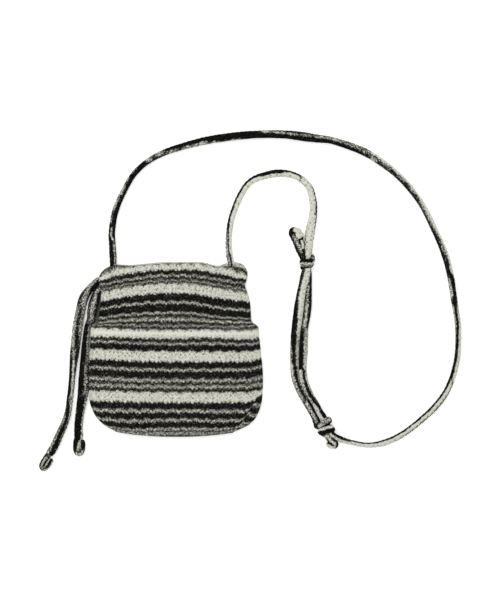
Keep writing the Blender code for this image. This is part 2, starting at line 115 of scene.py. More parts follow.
ECRU = (0.82, 0.815, 0.715, 1.0)
ECRU_SHADED = (0.55, 0.545, 0.47, 1.0)
BLACK = (0.0008, 0.0008, 0.0008, 1.0)
BLACK_WORN = (0.010, 0.010, 0.0095, 1.0)
STRAP_YARN = (1.80, 4.6)     # how sharply black and ecru part, and how speckled the change between them is

# The gap beside each stitch: how quickly it closes across and upwards, and how dark its painted shade is.
HOLE_ACROSS, HOLE_UP, HOLE_SHADE = 12, 9, 0.85
# Painted shade: the furrows between the stitches' legs are coloured darker.
FURROW_SHADE = 0.10           # the furrows between the stitches' legs
# Painted highlight: the legs' tops are made paler.
LEG_HIGHLIGHT = 0.30              # how much more ecru shows on top of a leg
# Painted highlight: stitches drawn smooth are coloured a little lighter.
SMOOTH_HIGHLIGHT = 0.05           # stitches pulled smooth catch a little more light
DARKEST = 0.10
YARN_BUMP = 0.0003

# The yarn's unevenness in patches, blotches and fibres: its scale, its detail and its roughness.
YARN_NOISES = ((260.0, 1.0, 0.5), (620.0, 2.0, 0.6), (1700.0, 1.0, 0.6))


class Wire:
    """A socket of a material's nodes. Sums of wires and numbers add the Math nodes that they need."""

    def __init__(self, tree, socket=None):
        self.tree, self.socket = tree, socket

    def node(self, kind, settings, sockets, output=0):
        """Adds a node: first its settings, then the number, colour or wire of each of its sockets."""
        made = self.tree.nodes.new("ShaderNode" + kind)
        for key, value in settings.items():
            setattr(made, key, value)
        for key, value in sockets.items():
            if isinstance(value, Wire):
                self.tree.links.new(value.socket, made.inputs[key])
            else:
                made.inputs[key].default_value = value
        return Wire(self.tree, made.outputs[output])

    def other(self, output):
        return Wire(self.tree, self.socket.node.outputs[output])

    def math(self, operation, *others, clamp=False):
        sockets = dict(enumerate((self, *others)))
        return self.node("Math", {"operation": operation, "use_clamp": clamp}, sockets)

    def __add__(self, other):
        return self.math("ADD", other)

    def __sub__(self, other):
        return self.math("SUBTRACT", other)

    def __mul__(self, other):
        return self.math("MULTIPLY", other)

    def __rsub__(self, other):
        return self.node("Math", {"operation": "SUBTRACT"}, {0: other, 1: self})

    __radd__ = __add__
    __rmul__ = __mul__


def wander(place, seed):
    """A smooth uneven wave of about -1 to 1, the same each time for the same seed."""
    waves = ((2.1, 1.7, 1.0), (0.83, 4.1, 1.0), (4.7, 2.9, 0.6))     # the rate, start and share of each
    shares = 2.6
    return sum(share * np.sin(place * rate + seed * start) for rate, start, share in waves) / shares


def reach(steps):
    """How far each place lies from the first one, from the steps between them."""
    return np.concatenate([[0.0], np.cumsum(steps)])


def eased(begin, leave, end, arrive, s):
    """The place at the share s of a smooth curve, given both its ends and its slope at each."""
    s2, s3 = s * s, s ** 3
    from_begin = (2 * s3 - 3 * s2 + 1) * begin + (s3 - 2 * s2 + s) * leave
    return from_begin + (3 * s2 - 2 * s3) * end + (s3 - s2) * arrive


def smooth_route(route, step):
    """Points of a smooth curve through the route, a step apart, each with how far along it is."""
    points = np.array(route)
    ahead = np.linalg.norm(np.diff(points[:, :3], axis=0), axis=1)
    reached = reach(ahead)
    order = np.arange(len(points))
    low, high = np.maximum(order - 1, 0), np.minimum(order + 1, len(points) - 1)
    slopes = (points[high] - points[low]) / (reached[high] - reached[low])[:, None]
    along = np.linspace(0.0, reached[-1], round(reached[-1] / step) + 1)
    i = np.clip(np.searchsorted(reached, along, side="right") - 1, 0, len(points) - 2)
    gap = ahead[i][:, None]
    share = (along - reached[i])[:, None] / gap
    smooth = eased(points[i], slopes[i] * gap, points[i + 1], slopes[i + 1] * gap, share)
    return smooth, reach(np.linalg.norm(np.diff(smooth[:, :3], axis=0), axis=1))


def stitch_rise(wale, course):
    """How high the knit's face stands, 0 to 1: a stitch is a V of two legs, which sink at its sides."""
    side = np.abs(wale % 1.0 - 0.5) * 2
    leg = np.abs(np.sin(math.pi * (course + LEAN * side)))
    return leg ** 0.7 * np.maximum(np.sin(math.pi * (0.32 + 0.68 * side)), 0.0) ** 0.5


def as_piece(name, points, faces, stitch, dark, material):
    """A smooth-shaded mesh, right side out, with the place of each point in the knit for its material."""
    corners = points[faces]
    middle = corners.mean(axis=1)
    facing = np.cross(corners[:, 2] - corners[:, 0], corners[:, 3] - corners[:, 1])
    if (middle * facing).sum() < 0:
        faces = faces[:, ::-1]
    mesh = bpy.data.meshes.new(name)
    mesh.from_pydata(points.tolist(), [], [tuple(dict.fromkeys(face)) for face in faces.tolist()])
    kept = (("stitch", "FLOAT_VECTOR", "vector", stitch), ("dark", "FLOAT", "value", dark))
    for key, kind, column, values in kept:
        mesh.attributes.new(key, kind, "POINT").data.foreach_set(column, values.astype(np.float32).ravel())
    mesh.materials.append(material)
    mesh.shade_smooth()
    made = bpy.data.objects.new(name, mesh)
    scene.collection.objects.link(made)
    return made


# The tube's top as three streaks side by side, at each distance along it. In hundredths: how dark each streak
# is, and where the second and the third begin, from -100 at the left edge, facing along, to 100 at the right.
# Mostly the knit's own streaks; a few all-black rows are painted shadow under an overhanging part.
Streaks = namedtuple("Streaks", "along left first middle second right")


def streak_table(*rows):
    """The streaks' rows as one array a column, the hundredths made shares of 1."""
    along, *hundredths = np.array(rows).T
    return Streaks(along, *(column / 100 for column in hundredths))


def streak_shade(streaks, along, side, seed):
    """How dark the yarn is: three bands side by side, whose edges run unevenly along the tube."""
    left, first, middle, second, right = (
        np.interp(along, streaks.along, column)[:, None] for column in streaks[1:]
    )
    stitches = along[:, None] / WALE
    first = first + STREAK_WANDER * wander(stitches * 2.1, seed)
    second = np.maximum(second + STREAK_WANDER * wander(stitches * 2.1, seed + 5), first)

    def past(edge):
        return np.clip((side - edge) / (2 * STREAK_EDGE) + 0.5, 0.0, 1.0)

    return left + (middle - left) * past(first) + (right - middle) * past(second)


def tube(name, centres, along, up, half_wide, half_high, streaks, material, seed):
    """A closed knitted tube along its centre line, with rounded ends, its underside flat on the table."""
    heading = np.gradient(centres, axis=0)
    heading /= np.linalg.norm(heading, axis=1)[:, None]
    across = np.cross(heading, up)
    across /= np.linalg.norm(across, axis=1)[:, None]
    up = np.cross(across, heading)
    turn = (np.arange(TUBE_SIDES) / TUBE_SIDES - 0.25) * 2 * math.pi
    to_end = np.minimum(along, along[-1] - along) / END_ROUNDING
    closing = np.sqrt(np.clip(1 - np.clip(1 - to_end, 0, 1) ** 2, 0.01, 1))
    wale, course = np.broadcast_arrays(along[:, None] / WALE, TUBE_COURSES * (turn / (2 * math.pi) + 0.25))
    lumps = TUBE_LUMPS * np.sin(3 * turn + wale * 0.7 + seed)
    unevenness = 1 + TUBE_WAVER * wander(wale * 0.9, seed) + lumps
    relief = STITCH_DEPTH * (stitch_rise(wale, course) - TUBE_LEVEL)
    size = unevenness * closing[:, None]
    wide = half_wide[:, None] * size + relief
    high = half_high[:, None] * size + relief
    rings = (
        centres[:, None, :]
        + across[:, None, :] * (wide * np.cos(turn))[:, :, None]
        + up[:, None, :] * (high * np.sin(turn))[:, :, None]
    )
    rings[:, :, 2] = np.maximum(rings[:, :, 2], 0.0)
    count = len(centres)
    index = np.arange(count * TUBE_SIDES).reshape(count, TUBE_SIDES)
    onward = np.roll(index, -1, axis=1)
    walls = np.stack([index[:-1], onward[:-1], onward[1:], index[1:]], axis=-1).reshape(-1, 4)
    tips = count * TUBE_SIDES + np.arange(2)
    caps = [
        np.stack([ring, np.full_like(ring, tip), np.full_like(ring, tip), np.roll(ring, way)], axis=-1)
        for ring, tip, way in ((index[0], tips[0], -1), (index[-1], tips[1], 1))
    ]
    points = np.concatenate([rings.reshape(-1, 3), centres[[0]], centres[[-1]]])
    stitch = np.stack([wale, course, np.zeros_like(wale)], axis=-1).reshape(-1, 3)
    stitch = np.concatenate([stitch, stitch[:1], stitch[-1:]])
    dark = streak_shade(streaks, along, np.cos(turn)[None, :], seed).ravel()
    dark = np.concatenate([dark, dark[:1], dark[-1:]])
    return as_piece(name, points, np.concatenate([walls, *caps]), stitch, dark, material)


def knit(name, contrast, speckled):
    """The yarn's material. How dark it is comes with each mesh, and so does where it is in the stitches: its
    wale, its course, and how far its stitches are drawn smooth, on a pulled hem or under a painted shadow."""
    material = bpy.data.materials.new(name)
    material.use_nodes = True
    tree = material.node_tree
    start = Wire(tree)
    stitch = start.node("Attribute", {"attribute_name": "stitch"}, {}, output=1)
    wale = start.node("SeparateXYZ", {}, {0: stitch})
    course, smoothing = wale.other(1), wale.other(2)
    dark = start.node("Attribute", {"attribute_name": "dark"}, {}, output=2)
    place = start.node("TexCoord", {}, {}, output=3)
    patch, blotch, fibre = (
        start.node("TexNoise", {}, {"Vector": place, "Scale": scale, "Detail": detail, "Roughness": rough})
        for scale, detail, rough in YARN_NOISES
    )
    side = (wale.math("FRACT") - 0.5).math("ABSOLUTE") * 2
    leg = (course + side * LEAN).math("PINGPONG", 0.5) * 2

    # Ecru shows by the stripe, with speckles where two stripes meet; more of it on top of the legs is a
    # painted highlight.
    speckle = (blotch * 0.6 + fibre * 0.4) - 0.5
    pale = (0.5 - dark) * contrast + (speckle * speckled + (leg - 0.5) * LEG_HIGHLIGHT) * (1 - smoothing)
    pale = pale.math("ADD", 0.5, clamp=True).math("POWER", 2.0)

    # A hole lies at each wale's edge, and in every other course at each wale and a half.
    row = (course + 0.5).math("FLOOR").math("PINGPONG", 1.0)
    beside = {0: row, 2: wale.math("PINGPONG", 0.5), 3: (wale + 0.4).math("PINGPONG", 0.75)}
    across_hole = start.node("Mix", {}, beside)
    up_hole = course.math("PINGPONG", 0.5)
    hole = (1 - across_hole * across_hole * HOLE_ACROSS - up_hole * up_hole * HOLE_UP).math("MAXIMUM", 0.0)
    uneven = (patch - 0.32).math("MULTIPLY", 2.6, clamp=True)

    # Painted shade and tone, multiplied into the colour: painted shade in the furrows and holes, a painted
    # highlight where stitches are drawn smooth, and the yarn's own tone uneven from blotch to blotch.
    painted_furrow_shade = (1 - leg).math("POWER", 2.0) * FURROW_SHADE
    painted_shade_and_tone = 1 - (painted_furrow_shade + hole * uneven * HOLE_SHADE) * (1 - smoothing) - (0.5 - blotch) * (0.5 - smoothing * 0.4)
    painted_shade_and_tone = (painted_shade_and_tone + smoothing * SMOOTH_HIGHLIGHT).math("MAXIMUM", DARKEST)

    def mixed(share, one, other):
        return start.node("Mix", {"data_type": "RGBA"}, {0: share, 6: one, 7: other}, output=2)

    yarn = mixed(pale, mixed(fibre, BLACK, BLACK_WORN), mixed(fibre, ECRU_SHADED, ECRU))
    shaded = start.node("VectorMath", {"operation": "SCALE"}, {0: yarn, 3: painted_shade_and_tone})
    depth = (leg - hole * uneven) * (1 - smoothing) + fibre * 0.5
    normal = start.node("Bump", {}, {"Strength": 0.5, "Distance": YARN_BUMP, "Height": depth})
    shader = tree.nodes["Principled BSDF"]
    tree.links.new(shaded.socket, shader.inputs["Base Color"])
    tree.links.new(normal.socket, shader.inputs["Normal"])
    shader.inputs["Roughness"].default_value = 0.95
    shader.inputs["Specular IOR Level"].default_value = 0.02
    return material


strap_knit = knit("strap_knit_yarn", *STRAP_YARN)

STRAP_RADIUS = 0.0039
HEIGHT_SHARE = 0.97          # how high a cord stands for its width
HIGHEST = 0.0042             # half the height of a length that lies flattened
ROOT_FLAT = 0.45             # the share of its height that it keeps where it is caught between the panels
PRESSED_TO = 0.007           # how far along it stays so pressed,
UNPRESSED_FROM = 0.016       # and from where it is round again

# Along each route: its place, and its width as a share of the cord's own.
STRAP_LONG_ROUTE = (
    (-0.0686, 0.0885, 0.0064, 0.92), (-0.0688, 0.0931, 0.0063, 0.95), (-0.0690, 0.1019, 0.0053, 1.00),
    (-0.0697, 0.1151, 0.0041, 0.94), (-0.0703, 0.1283, 0.0039, 0.93), (-0.0667, 0.1502, 0.0037, 0.90),
    (-0.0571, 0.1733, 0.0036, 0.87), (-0.0453, 0.1926, 0.0033, 0.79), (-0.0274, 0.2082, 0.0033, 0.81),
    (-0.0053, 0.2182, 0.0037, 0.91), (0.0287, 0.2276, 0.0043, 1.09), (0.0617, 0.2331, 0.0043, 1.12),
    (0.0969, 0.2357, 0.0042, 1.08), (0.1210, 0.2352, 0.0043, 1.16), (0.1365, 0.2335, 0.0043, 1.28),
    (0.1530, 0.2313, 0.0043, 1.16), (0.1740, 0.2281, 0.0041, 1.01), (0.2093, 0.2150, 0.0043, 1.10),
    (0.2413, 0.1929, 0.0039, 0.98), (0.2663, 0.1647, 0.0036, 0.90), (0.2844, 0.1306, 0.0037, 0.92),
    (0.2984, 0.0953, 0.0040, 1.01), (0.3048, 0.0602, 0.0036, 0.90), (0.3104, 0.0205, 0.0034, 0.86),
    (0.3087, -0.0137, 0.0034, 0.86), (0.2994, -0.0432, 0.0034, 0.87), (0.2852, -0.0636, 0.0035, 0.91),
    (0.2665, -0.0809, 0.0033, 0.83), (0.2477, -0.0948, 0.0033, 0.83), (0.2301, -0.1030, 0.0034, 0.86),
    (0.2113, -0.1060, 0.0028, 0.70), (0.1917, -0.1028, 0.0032, 0.72),
    (0.1786, -0.0983, 0.0048, 0.85), (0.1732, -0.0950, 0.0062, 0.79), (0.1695, -0.0901, 0.0069, 0.74),
    (0.1658, -0.0814, 0.0069, 0.74), (0.1614, -0.0750, 0.0062, 1.06), (0.1573, -0.0682, 0.0052, 1.00),
    (0.1530, -0.0596, 0.0044, 0.99), (0.1471, -0.0499, 0.0042, 1.07), (0.1430, -0.0411, 0.0043, 1.13),
    (0.1401, -0.0318, 0.0044, 1.21), (0.1394, -0.0180, 0.0044, 1.18), (0.1400, -0.0048, 0.0044, 1.24),
    (0.1405, 0.0084, 0.0044, 1.24), (0.1411, 0.0210, 0.0044, 1.16), (0.1428, 0.0315, 0.0041, 1.10),
    (0.1441, 0.0414, 0.0040, 1.16), (0.1449, 0.0524, 0.0038, 1.16), (0.1453, 0.0645, 0.0035, 1.10),
    (0.1455, 0.0766, 0.0032, 1.02), (0.1452, 0.0876, 0.0030, 0.90), (0.1446, 0.0925, 0.0030, 0.76),
)
STRAP_LONG_STREAKS = streak_table(
    (0.000, 95, 25, 45, 80, 85), (0.016, 95, 20, 45, 80, 80), (0.030, 95, 10, 40, 80, 85),
    (0.036, 100, -45, 25, 15, 100), (0.044, 100, -45, 30, 10, 100), (0.047, 90, -20, 75, 20, 100),
    (0.052, 35, -30, 85, 30, 100), (0.060, 75, -30, 95, 30, 100), (0.066, 42, -25, 90, 40, 100),
    (0.074, 42, -20, 90, 40, 100), (0.080, 55, -30, 90, 30, 100), (0.084, 34, 8, 90, 50, 100),
    (0.090, 36, 5, 90, 50, 100), (0.094, 50, -30, 95, 40, 100), (0.102, 50, -45, 95, 30, 100),
    (0.106, 90, -30, 100, 30, 100), (0.112, 58, -45, 95, 40, 100), (0.117, 65, -45, 95, 40, 100),
    (0.120, 97, -30, 100, 40, 100), (0.126, 97, -30, 100, 40, 100), (0.129, 45, 45, 90, 70, 100),
    (0.134, 48, 40, 90, 70, 95), (0.138, 75, 0, 85, 50, 95), (0.143, 42, 45, 80, 70, 90),
    (0.148, 45, 35, 80, 70, 70), (0.152, 95, -10, 75, 30, 60), (0.156, 100, -8, 48, 80, 50),
    (0.163, 100, -5, 48, 80, 50), (0.168, 100, 0, 75, 80, 70), (0.173, 100, 8, 45, 95, 40),
    (0.188, 100, 22, 42, 95, 38), (0.191, 100, -5, 32, 95, 30), (0.197, 100, 5, 35, 95, 35),
    (0.201, 100, 60, 60, 95, 55), (0.207, 100, 38, 38, 95, 40), (0.215, 100, 88, 80, 95, 90),
    (0.223, 100, 70, 32, 90, 40), (0.236, 100, 75, 38, 90, 40), (0.243, 100, 90, 90, 95, 100),
    (0.255, 100, -90, 100, -30, 100), (0.260, 70, -95, 38, -25, 100), (0.267, 70, -90, 45, -15, 100),
    (0.271, 80, -80, 72, -20, 100), (0.275, 90, -75, 30, -5, 100), (0.282, 90, -70, 38, -5, 100),
    (0.286, 90, -70, 62, -10, 96), (0.291, 90, -65, 34, 5, 100), (0.296, 90, -65, 42, 8, 100),
    (0.301, 85, -60, 70, -10, 96), (0.308, 85, -60, 40, 5, 100), (0.316, 60, -80, 62, -10, 96),
    (0.322, 55, -80, 42, -5, 100), (0.345, 45, -40, 42, -5, 97), (0.355, 65, -45, 45, 5, 96),
    (0.363, 45, -30, 50, 10, 98), (0.376, 68, -15, 50, 30, 85), (0.381, 35, -40, 60, 10, 95),
    (0.385, 8, -45, 85, -5, 40), (0.391, 8, -40, 70, -5, 45), (0.395, 5, -40, 52, 15, 90),
    (0.403, 5, -35, 50, 25, 72), (0.417, 5, -35, 72, 22, 80), (0.424, 6, -35, 50, 35, 82),
    (0.434, 12, -45, 68, 30, 95), (0.443, 10, -30, 45, 35, 90), (0.451, 8, -35, 68, 30, 95),
    (0.462, 5, -20, 45, 40, 85), (0.480, 5, -12, 40, 42, 82), (0.498, 6, -38, 62, 28, 95),
    (0.518, 10, -45, 50, 30, 92), (0.530, 5, -35, 82, 30, 82), (0.541, 8, -10, 100, 80, 95),
    (0.545, 25, -50, 98, 40, 80), (0.550, 60, -80, 100, 15, 50), (0.554, 90, -80, 100, 5, 45),
    (0.568, 85, -80, 100, 5, 28), (0.574, 70, -70, 100, 70, 80), (0.583, 28, -32, 100, 45, 38),
    (0.600, 18, -28, 100, 42, 42), (0.612, 12, -2, 100, 62, 60), (0.640, 8, 8, 100, 85, 90),
    (0.660, 15, 12, 100, 95, 100), (0.668, 55, -65, 8, 35, 100), (0.690, 75, -60, 5, 50, 100),
    (0.720, 70, -60, 5, 45, 100), (0.748, 60, -65, 5, 45, 100), (0.758, 25, -80, 8, 50, 100),
    (0.780, 20, -85, 8, 50, 100), (0.797, 15, -85, 12, 45, 85), (0.803, 15, -50, 25, 40, 75),
    # Rows 0.832 and 0.843, all black, are painted shadow: the length seen between the lower knot's turns.
    (0.808, 12, 5, 90, 80, 95), (0.828, 10, -2, 100, 85, 100), (0.832, 100, -10, 100, 80, 100),
    (0.843, 100, -10, 100, 80, 100), (0.845, 10, 5, 100, 80, 100), (0.861, 10, 5, 100, 80, 100),
    (0.866, 30, -25, 95, 70, 40), (0.876, 40, -40, 100, 55, 25), (0.886, 25, -20, 100, 50, 25),
    (0.900, 20, -10, 100, 50, 25), (0.905, 15, -5, 100, 50, 25), (0.907, 100, -50, 100, 12, 25),
    (0.922, 100, -50, 100, 10, 36), (0.932, 100, -50, 100, -5, 38), (0.945, 100, -50, 100, -10, 40),
    (0.950, 95, -55, 60, 0, 50), (0.955, 90, -55, 32, 35, 85), (0.972, 90, -50, 32, 25, 90),
    (0.988, 80, -40, 45, 30, 95), (0.996, 60, -30, 50, 40, 100), (1.022, 60, -20, 60, 40, 100),
)


def laid_cord(name, route, streaks, radius, material, seed, start_flat=1.0):
    """A cord along its route, its centre line and its length. Its start can be pressed between the panels."""
    smooth, along = smooth_route(route, RING_STEP)
    centres = smooth[:, :3].copy()
    half = radius * smooth[:, 3]
    pressed = np.interp(along, (PRESSED_TO, UNPRESSED_FROM), (start_flat, 1.0))
    high = np.minimum(half * HEIGHT_SHARE, HIGHEST) * pressed
    centres[:, 2] = np.maximum(centres[:, 2], high)
    up = np.tile([0.0, 0.0, 1.0], (len(centres), 1))
    made = tube(name, centres, along, up, half, high, streaks, material, seed)
    return made, [tuple(p) for p in centres[::3].tolist()] + [tuple(centres[-1].tolist())], along[-1]


def stands_for(made, node):
    """Puts a piece under the root body and hides the imported part that it stands for."""
    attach(made, "root")
    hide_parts(node)


strap_long, strap_long_line, strap_long_length = laid_cord(
    "strap_long_tube", STRAP_LONG_ROUTE, STRAP_LONG_STREAKS, STRAP_RADIUS, strap_knit, 1.0, ROOT_FLAT
)
stands_for(strap_long, "strap_long")

# --- the strap's short length -------------------------------------------------------------------
# The same knitted tube, from the mouth's right end up, over and down through the upper knot, and on beside
# the long length to the lower knot, which its own end ties.

STRAP_SHORT_ROUTE = (
    (0.0612, 0.0900, 0.0064, 0.88), (0.0604, 0.0949, 0.0063, 0.88), (0.0588, 0.1041, 0.0053, 0.96),
    (0.0581, 0.1162, 0.0036, 0.90), (0.0588, 0.1294, 0.0035, 0.86), (0.0618, 0.1447, 0.0036, 0.90),
    (0.0719, 0.1699, 0.0036, 0.93), (0.0824, 0.1836, 0.0037, 0.95), (0.0991, 0.1905, 0.0039, 1.00),
    (0.1156, 0.1928, 0.0042, 1.08), (0.1329, 0.1890, 0.0037, 0.92), (0.1455, 0.1790, 0.0038, 0.96),
    (0.1504, 0.1634, 0.0042, 1.07), (0.1507, 0.1481, 0.0043, 1.10),
    (0.1478, 0.1299, 0.0046, 1.33), (0.1463, 0.1195, 0.0052, 1.30), (0.1457, 0.1101, 0.0062, 1.10),
    (0.1452, 0.1019, 0.0070, 0.87), (0.1446, 0.0953, 0.0070, 0.76), (0.1439, 0.0881, 0.0072, 1.18),
    (0.1424, 0.0810, 0.0068, 1.35), (0.1405, 0.0733, 0.0062, 1.30), (0.1385, 0.0645, 0.0056, 1.24),
    (0.1368, 0.0546, 0.0050, 1.35), (0.1354, 0.0436, 0.0046, 1.47), (0.1340, 0.0326, 0.0045, 1.49),
    (0.1324, 0.0221, 0.0044, 1.38), (0.1313, 0.0117, 0.0044, 1.31), (0.1308, 0.0007, 0.0044, 1.30),
    (0.1306, -0.0103, 0.0044, 1.28), (0.1305, -0.0197, 0.0044, 1.24), (0.1308, -0.0285, 0.0043, 1.16),
    (0.1328, -0.0373, 0.0041, 1.06), (0.1362, -0.0461, 0.0040, 1.02), (0.1413, -0.0552, 0.0040, 1.02),
    (0.1468, -0.0642, 0.0041, 1.04), (0.1515, -0.0725, 0.0043, 1.02), (0.1548, -0.0790, 0.0048, 1.06),
    (0.1559, -0.0835, 0.0046, 0.79),
)
STRAP_SHORT_STREAKS = streak_table(
    (0.000, 45, 0, 100, 45, 12), (0.010, 45, 0, 100, 45, 10), (0.016, 35, -20, 100, 15, 5),
    (0.028, 35, -30, 100, 5, 5), (0.040, 55, -50, 100, -5, 5), (0.048, 100, -90, 100, -30, 3),
    (0.060, 100, -95, 100, -42, 3), (0.085, 100, -95, 100, -40, 3), (0.106, 100, -95, 100, -32, 3),
    (0.116, 100, -95, 100, 0, 5), (0.134, 100, -95, 100, 5, 5), (0.139, 100, -95, 100, -35, 3),
    (0.148, 100, -95, 95, -42, 3), (0.155, 80, -95, 80, -55, 3), (0.160, 35, -80, 3, 80, 45),
    (0.167, 15, -80, 3, 78, 50), (0.171, 70, -78, 3, 95, 8), (0.178, 85, -70, 3, 95, 8),
    (0.190, 90, -68, 3, 95, 8), (0.200, 100, -55, 3, 95, 8), (0.206, 85, -75, 3, 92, 15),
    (0.220, 65, -85, 3, 85, 45), (0.228, 45, -85, 3, 85, 85), (0.246, 50, -85, 3, 80, 80),
    (0.262, 60, -90, 2, 35, 75), (0.274, 60, -90, 2, 30, 90), (0.284, 50, -92, 3, 38, 80),
    (0.300, 40, -92, 4, 28, 85), (0.308, 35, -92, 2, 15, 100), (0.322, 30, -92, 3, -2, 100),
    (0.328, 30, -92, 12, -10, 100), (0.329, 12, -10, 100, 90, 95), (0.336, 28, -20, 100, 85, 85),
    (0.346, 32, -20, 98, 65, 50), (0.366, 32, -20, 98, 50, 40), (0.371, 40, -45, 100, 25, 25),
    (0.377, 45, -50, 100, 20, 32), (0.384, 50, -55, 100, 5, 40), (0.398, 50, -60, 95, -5, 45),
    (0.408, 55, -60, 95, -10, 45), (0.413, 95, -30, 35, 60, 70), (0.430, 95, -25, 35, 65, 80),
    (0.440, 90, -20, 60, 60, 90),
)
strap_short, strap_short_line, strap_short_length = laid_cord(
    "strap_short_tube", STRAP_SHORT_ROUTE, STRAP_SHORT_STREAKS, STRAP_RADIUS, strap_knit, 2.0, ROOT_FLAT
)
stands_for(strap_short, "strap_short")

# --- the two sliding knots ----------------------------------------------------------------------
# Each length's end is wound twice round the other length, flattened like a ribbon, and pulled snug. The
# turns grip by friction alone, so that the strap can be made longer or shorter.

# Along each winding: its place, half its width and half its thickness. The core is the length it goes round.
UPPER_CORE = ((0.1453, 0.1041, 0.0069), (0.1435, 0.0876, 0.0069))
UPPER_WINDING = (
    (0.1444, 0.0882, 0.0024, 0.0022, 0.0016), (0.1400, 0.0887, 0.0034, 0.0024, 0.0016),
    (0.1384, 0.0900, 0.0069, 0.0026, 0.0017), (0.1400, 0.0910, 0.0103, 0.0029, 0.0018),
    (0.1440, 0.0915, 0.0113, 0.0031, 0.0018), (0.1482, 0.0920, 0.0102, 0.0030, 0.0018),
    (0.1500, 0.0933, 0.0069, 0.0028, 0.0017), (0.1484, 0.0943, 0.0034, 0.0027, 0.0016),
    (0.1442, 0.0947, 0.0024, 0.0026, 0.0016), (0.1396, 0.0948, 0.0036, 0.0028, 0.0017),
    (0.1377, 0.0950, 0.0069, 0.0032, 0.0018), (0.1396, 0.0950, 0.0108, 0.0035, 0.0019),
    (0.1444, 0.0949, 0.0122, 0.0035, 0.0019), (0.1490, 0.0956, 0.0108, 0.0032, 0.0019),
    (0.1510, 0.0986, 0.0076, 0.0028, 0.0020), (0.1497, 0.1010, 0.0042, 0.0028, 0.0022),
    (0.1453, 0.1014, 0.0030, 0.0028, 0.0022), (0.1413, 0.1016, 0.0040, 0.0036, 0.0030),
    (0.1398, 0.1047, 0.0046, 0.0038, 0.0034),
)
LOWER_CORE = ((0.1613, -0.0719, 0.0069), (0.1706, -0.0928, 0.0069))
LOWER_WINDING = (
    (0.1526, -0.0770, 0.0044, 0.0034, 0.0034), (0.1539, -0.0818, 0.0048, 0.0028, 0.0030),
    (0.1545, -0.0856, 0.0042, 0.0026, 0.0026), (0.1587, -0.0860, 0.0026, 0.0026, 0.0018),
    (0.1636, -0.0834, 0.0022, 0.0026, 0.0016), (0.1684, -0.0801, 0.0034, 0.0028, 0.0017),
    (0.1697, -0.0781, 0.0069, 0.0030, 0.0018), (0.1680, -0.0777, 0.0102, 0.0032, 0.0019),
    (0.1647, -0.0794, 0.0117, 0.0033, 0.0019), (0.1603, -0.0823, 0.0108, 0.0028, 0.0019),
    (0.1577, -0.0847, 0.0074, 0.0024, 0.0019), (0.1592, -0.0876, 0.0038, 0.0026, 0.0018),
    (0.1644, -0.0876, 0.0024, 0.0028, 0.0017), (0.1704, -0.0867, 0.0036, 0.0034, 0.0017),
    (0.1728, -0.0873, 0.0069, 0.0036, 0.0018), (0.1708, -0.0878, 0.0106, 0.0038, 0.0019),
    (0.1662, -0.0888, 0.0121, 0.0039, 0.0020), (0.1605, -0.0904, 0.0108, 0.0036, 0.0020),
    (0.1577, -0.0915, 0.0071, 0.0032, 0.0019), (0.1596, -0.0931, 0.0038, 0.0028, 0.0018),
    (0.1633, -0.0946, 0.0034, 0.0030, 0.0024), (0.1662, -0.0961, 0.0046, 0.0034, 0.0032),
)
UPPER_KNOT_STREAKS = streak_table(
    (0.000, 60, 0, 50, 30, 100), (0.006, 45, -20, 55, 40, 85), (0.024, 45, -20, 55, 40, 85),
    (0.034, 95, 10, 30, 80, 80), (0.042, 100, 10, 28, 80, 60), (0.054, 100, 8, 28, 80, 60),
    (0.057, 100, 10, 20, 85, 60), (0.060, 55, -40, 30, 45, 90), (0.066, 55, -40, 35, 45, 90),
    (0.069, 100, -30, 90, 70, 100), (0.072, 100, -40, 90, 60, 100), (0.075, 100, -50, 70, 0, 100),
    (0.079, 100, -30, 90, 70, 100),
)
LOWER_KNOT_STREAKS = streak_table(
    (0.000, 95, -25, 35, 65, 60), (0.003, 90, -30, 35, 50, 50), (0.006, 80, -50, 40, 30, 55),
    (0.011, 80, -50, 50, 30, 70), (0.024, 60, -60, 50, 40, 60), (0.034, 85, -70, 45, 50, 50),
    (0.041, 60, -60, 45, 60, 50), (0.044, 2, 20, 30, 60, 80), (0.048, 40, 0, 40, 50, 80),
    (0.060, 100, 10, 20, 80, 30), (0.069, 100, 25, 12, 95, 20), (0.084, 100, 25, 12, 95, 20),
    (0.091, 100, 30, 20, 90, 35), (0.101, 50, -20, 30, 60, 40),
)


def wound(name, route, core, streaks, material, seed):
    """A tube pressed flat like a ribbon along its route, its flat side facing away from the core."""
    smooth, along = smooth_route(route, RING_STEP / 2)
    centres = smooth[:, :3]
    ahead = np.subtract(core[1], core[0])
    ahead = ahead / np.linalg.norm(ahead)
    out = centres - core[0]
    out -= (out @ ahead)[:, None] * ahead
    return tube(name, centres, along, out, smooth[:, 3], smooth[:, 4], streaks, material, seed)


upper_knot = wound("upper_knot_turns", UPPER_WINDING, UPPER_CORE, UPPER_KNOT_STREAKS, strap_knit, 3.0)
lower_knot = wound("lower_knot_turns", LOWER_WINDING, LOWER_CORE, LOWER_KNOT_STREAKS, strap_knit, 4.0)
stands_for(upper_knot, "upper_knot")
stands_for(lower_knot, "lower_knot")

# --- the strap's turned ends --------------------------------------------------------------------
# What is left of each length past its knot is folded back on itself and stitched down, so that it can't
# slip out through the turns.

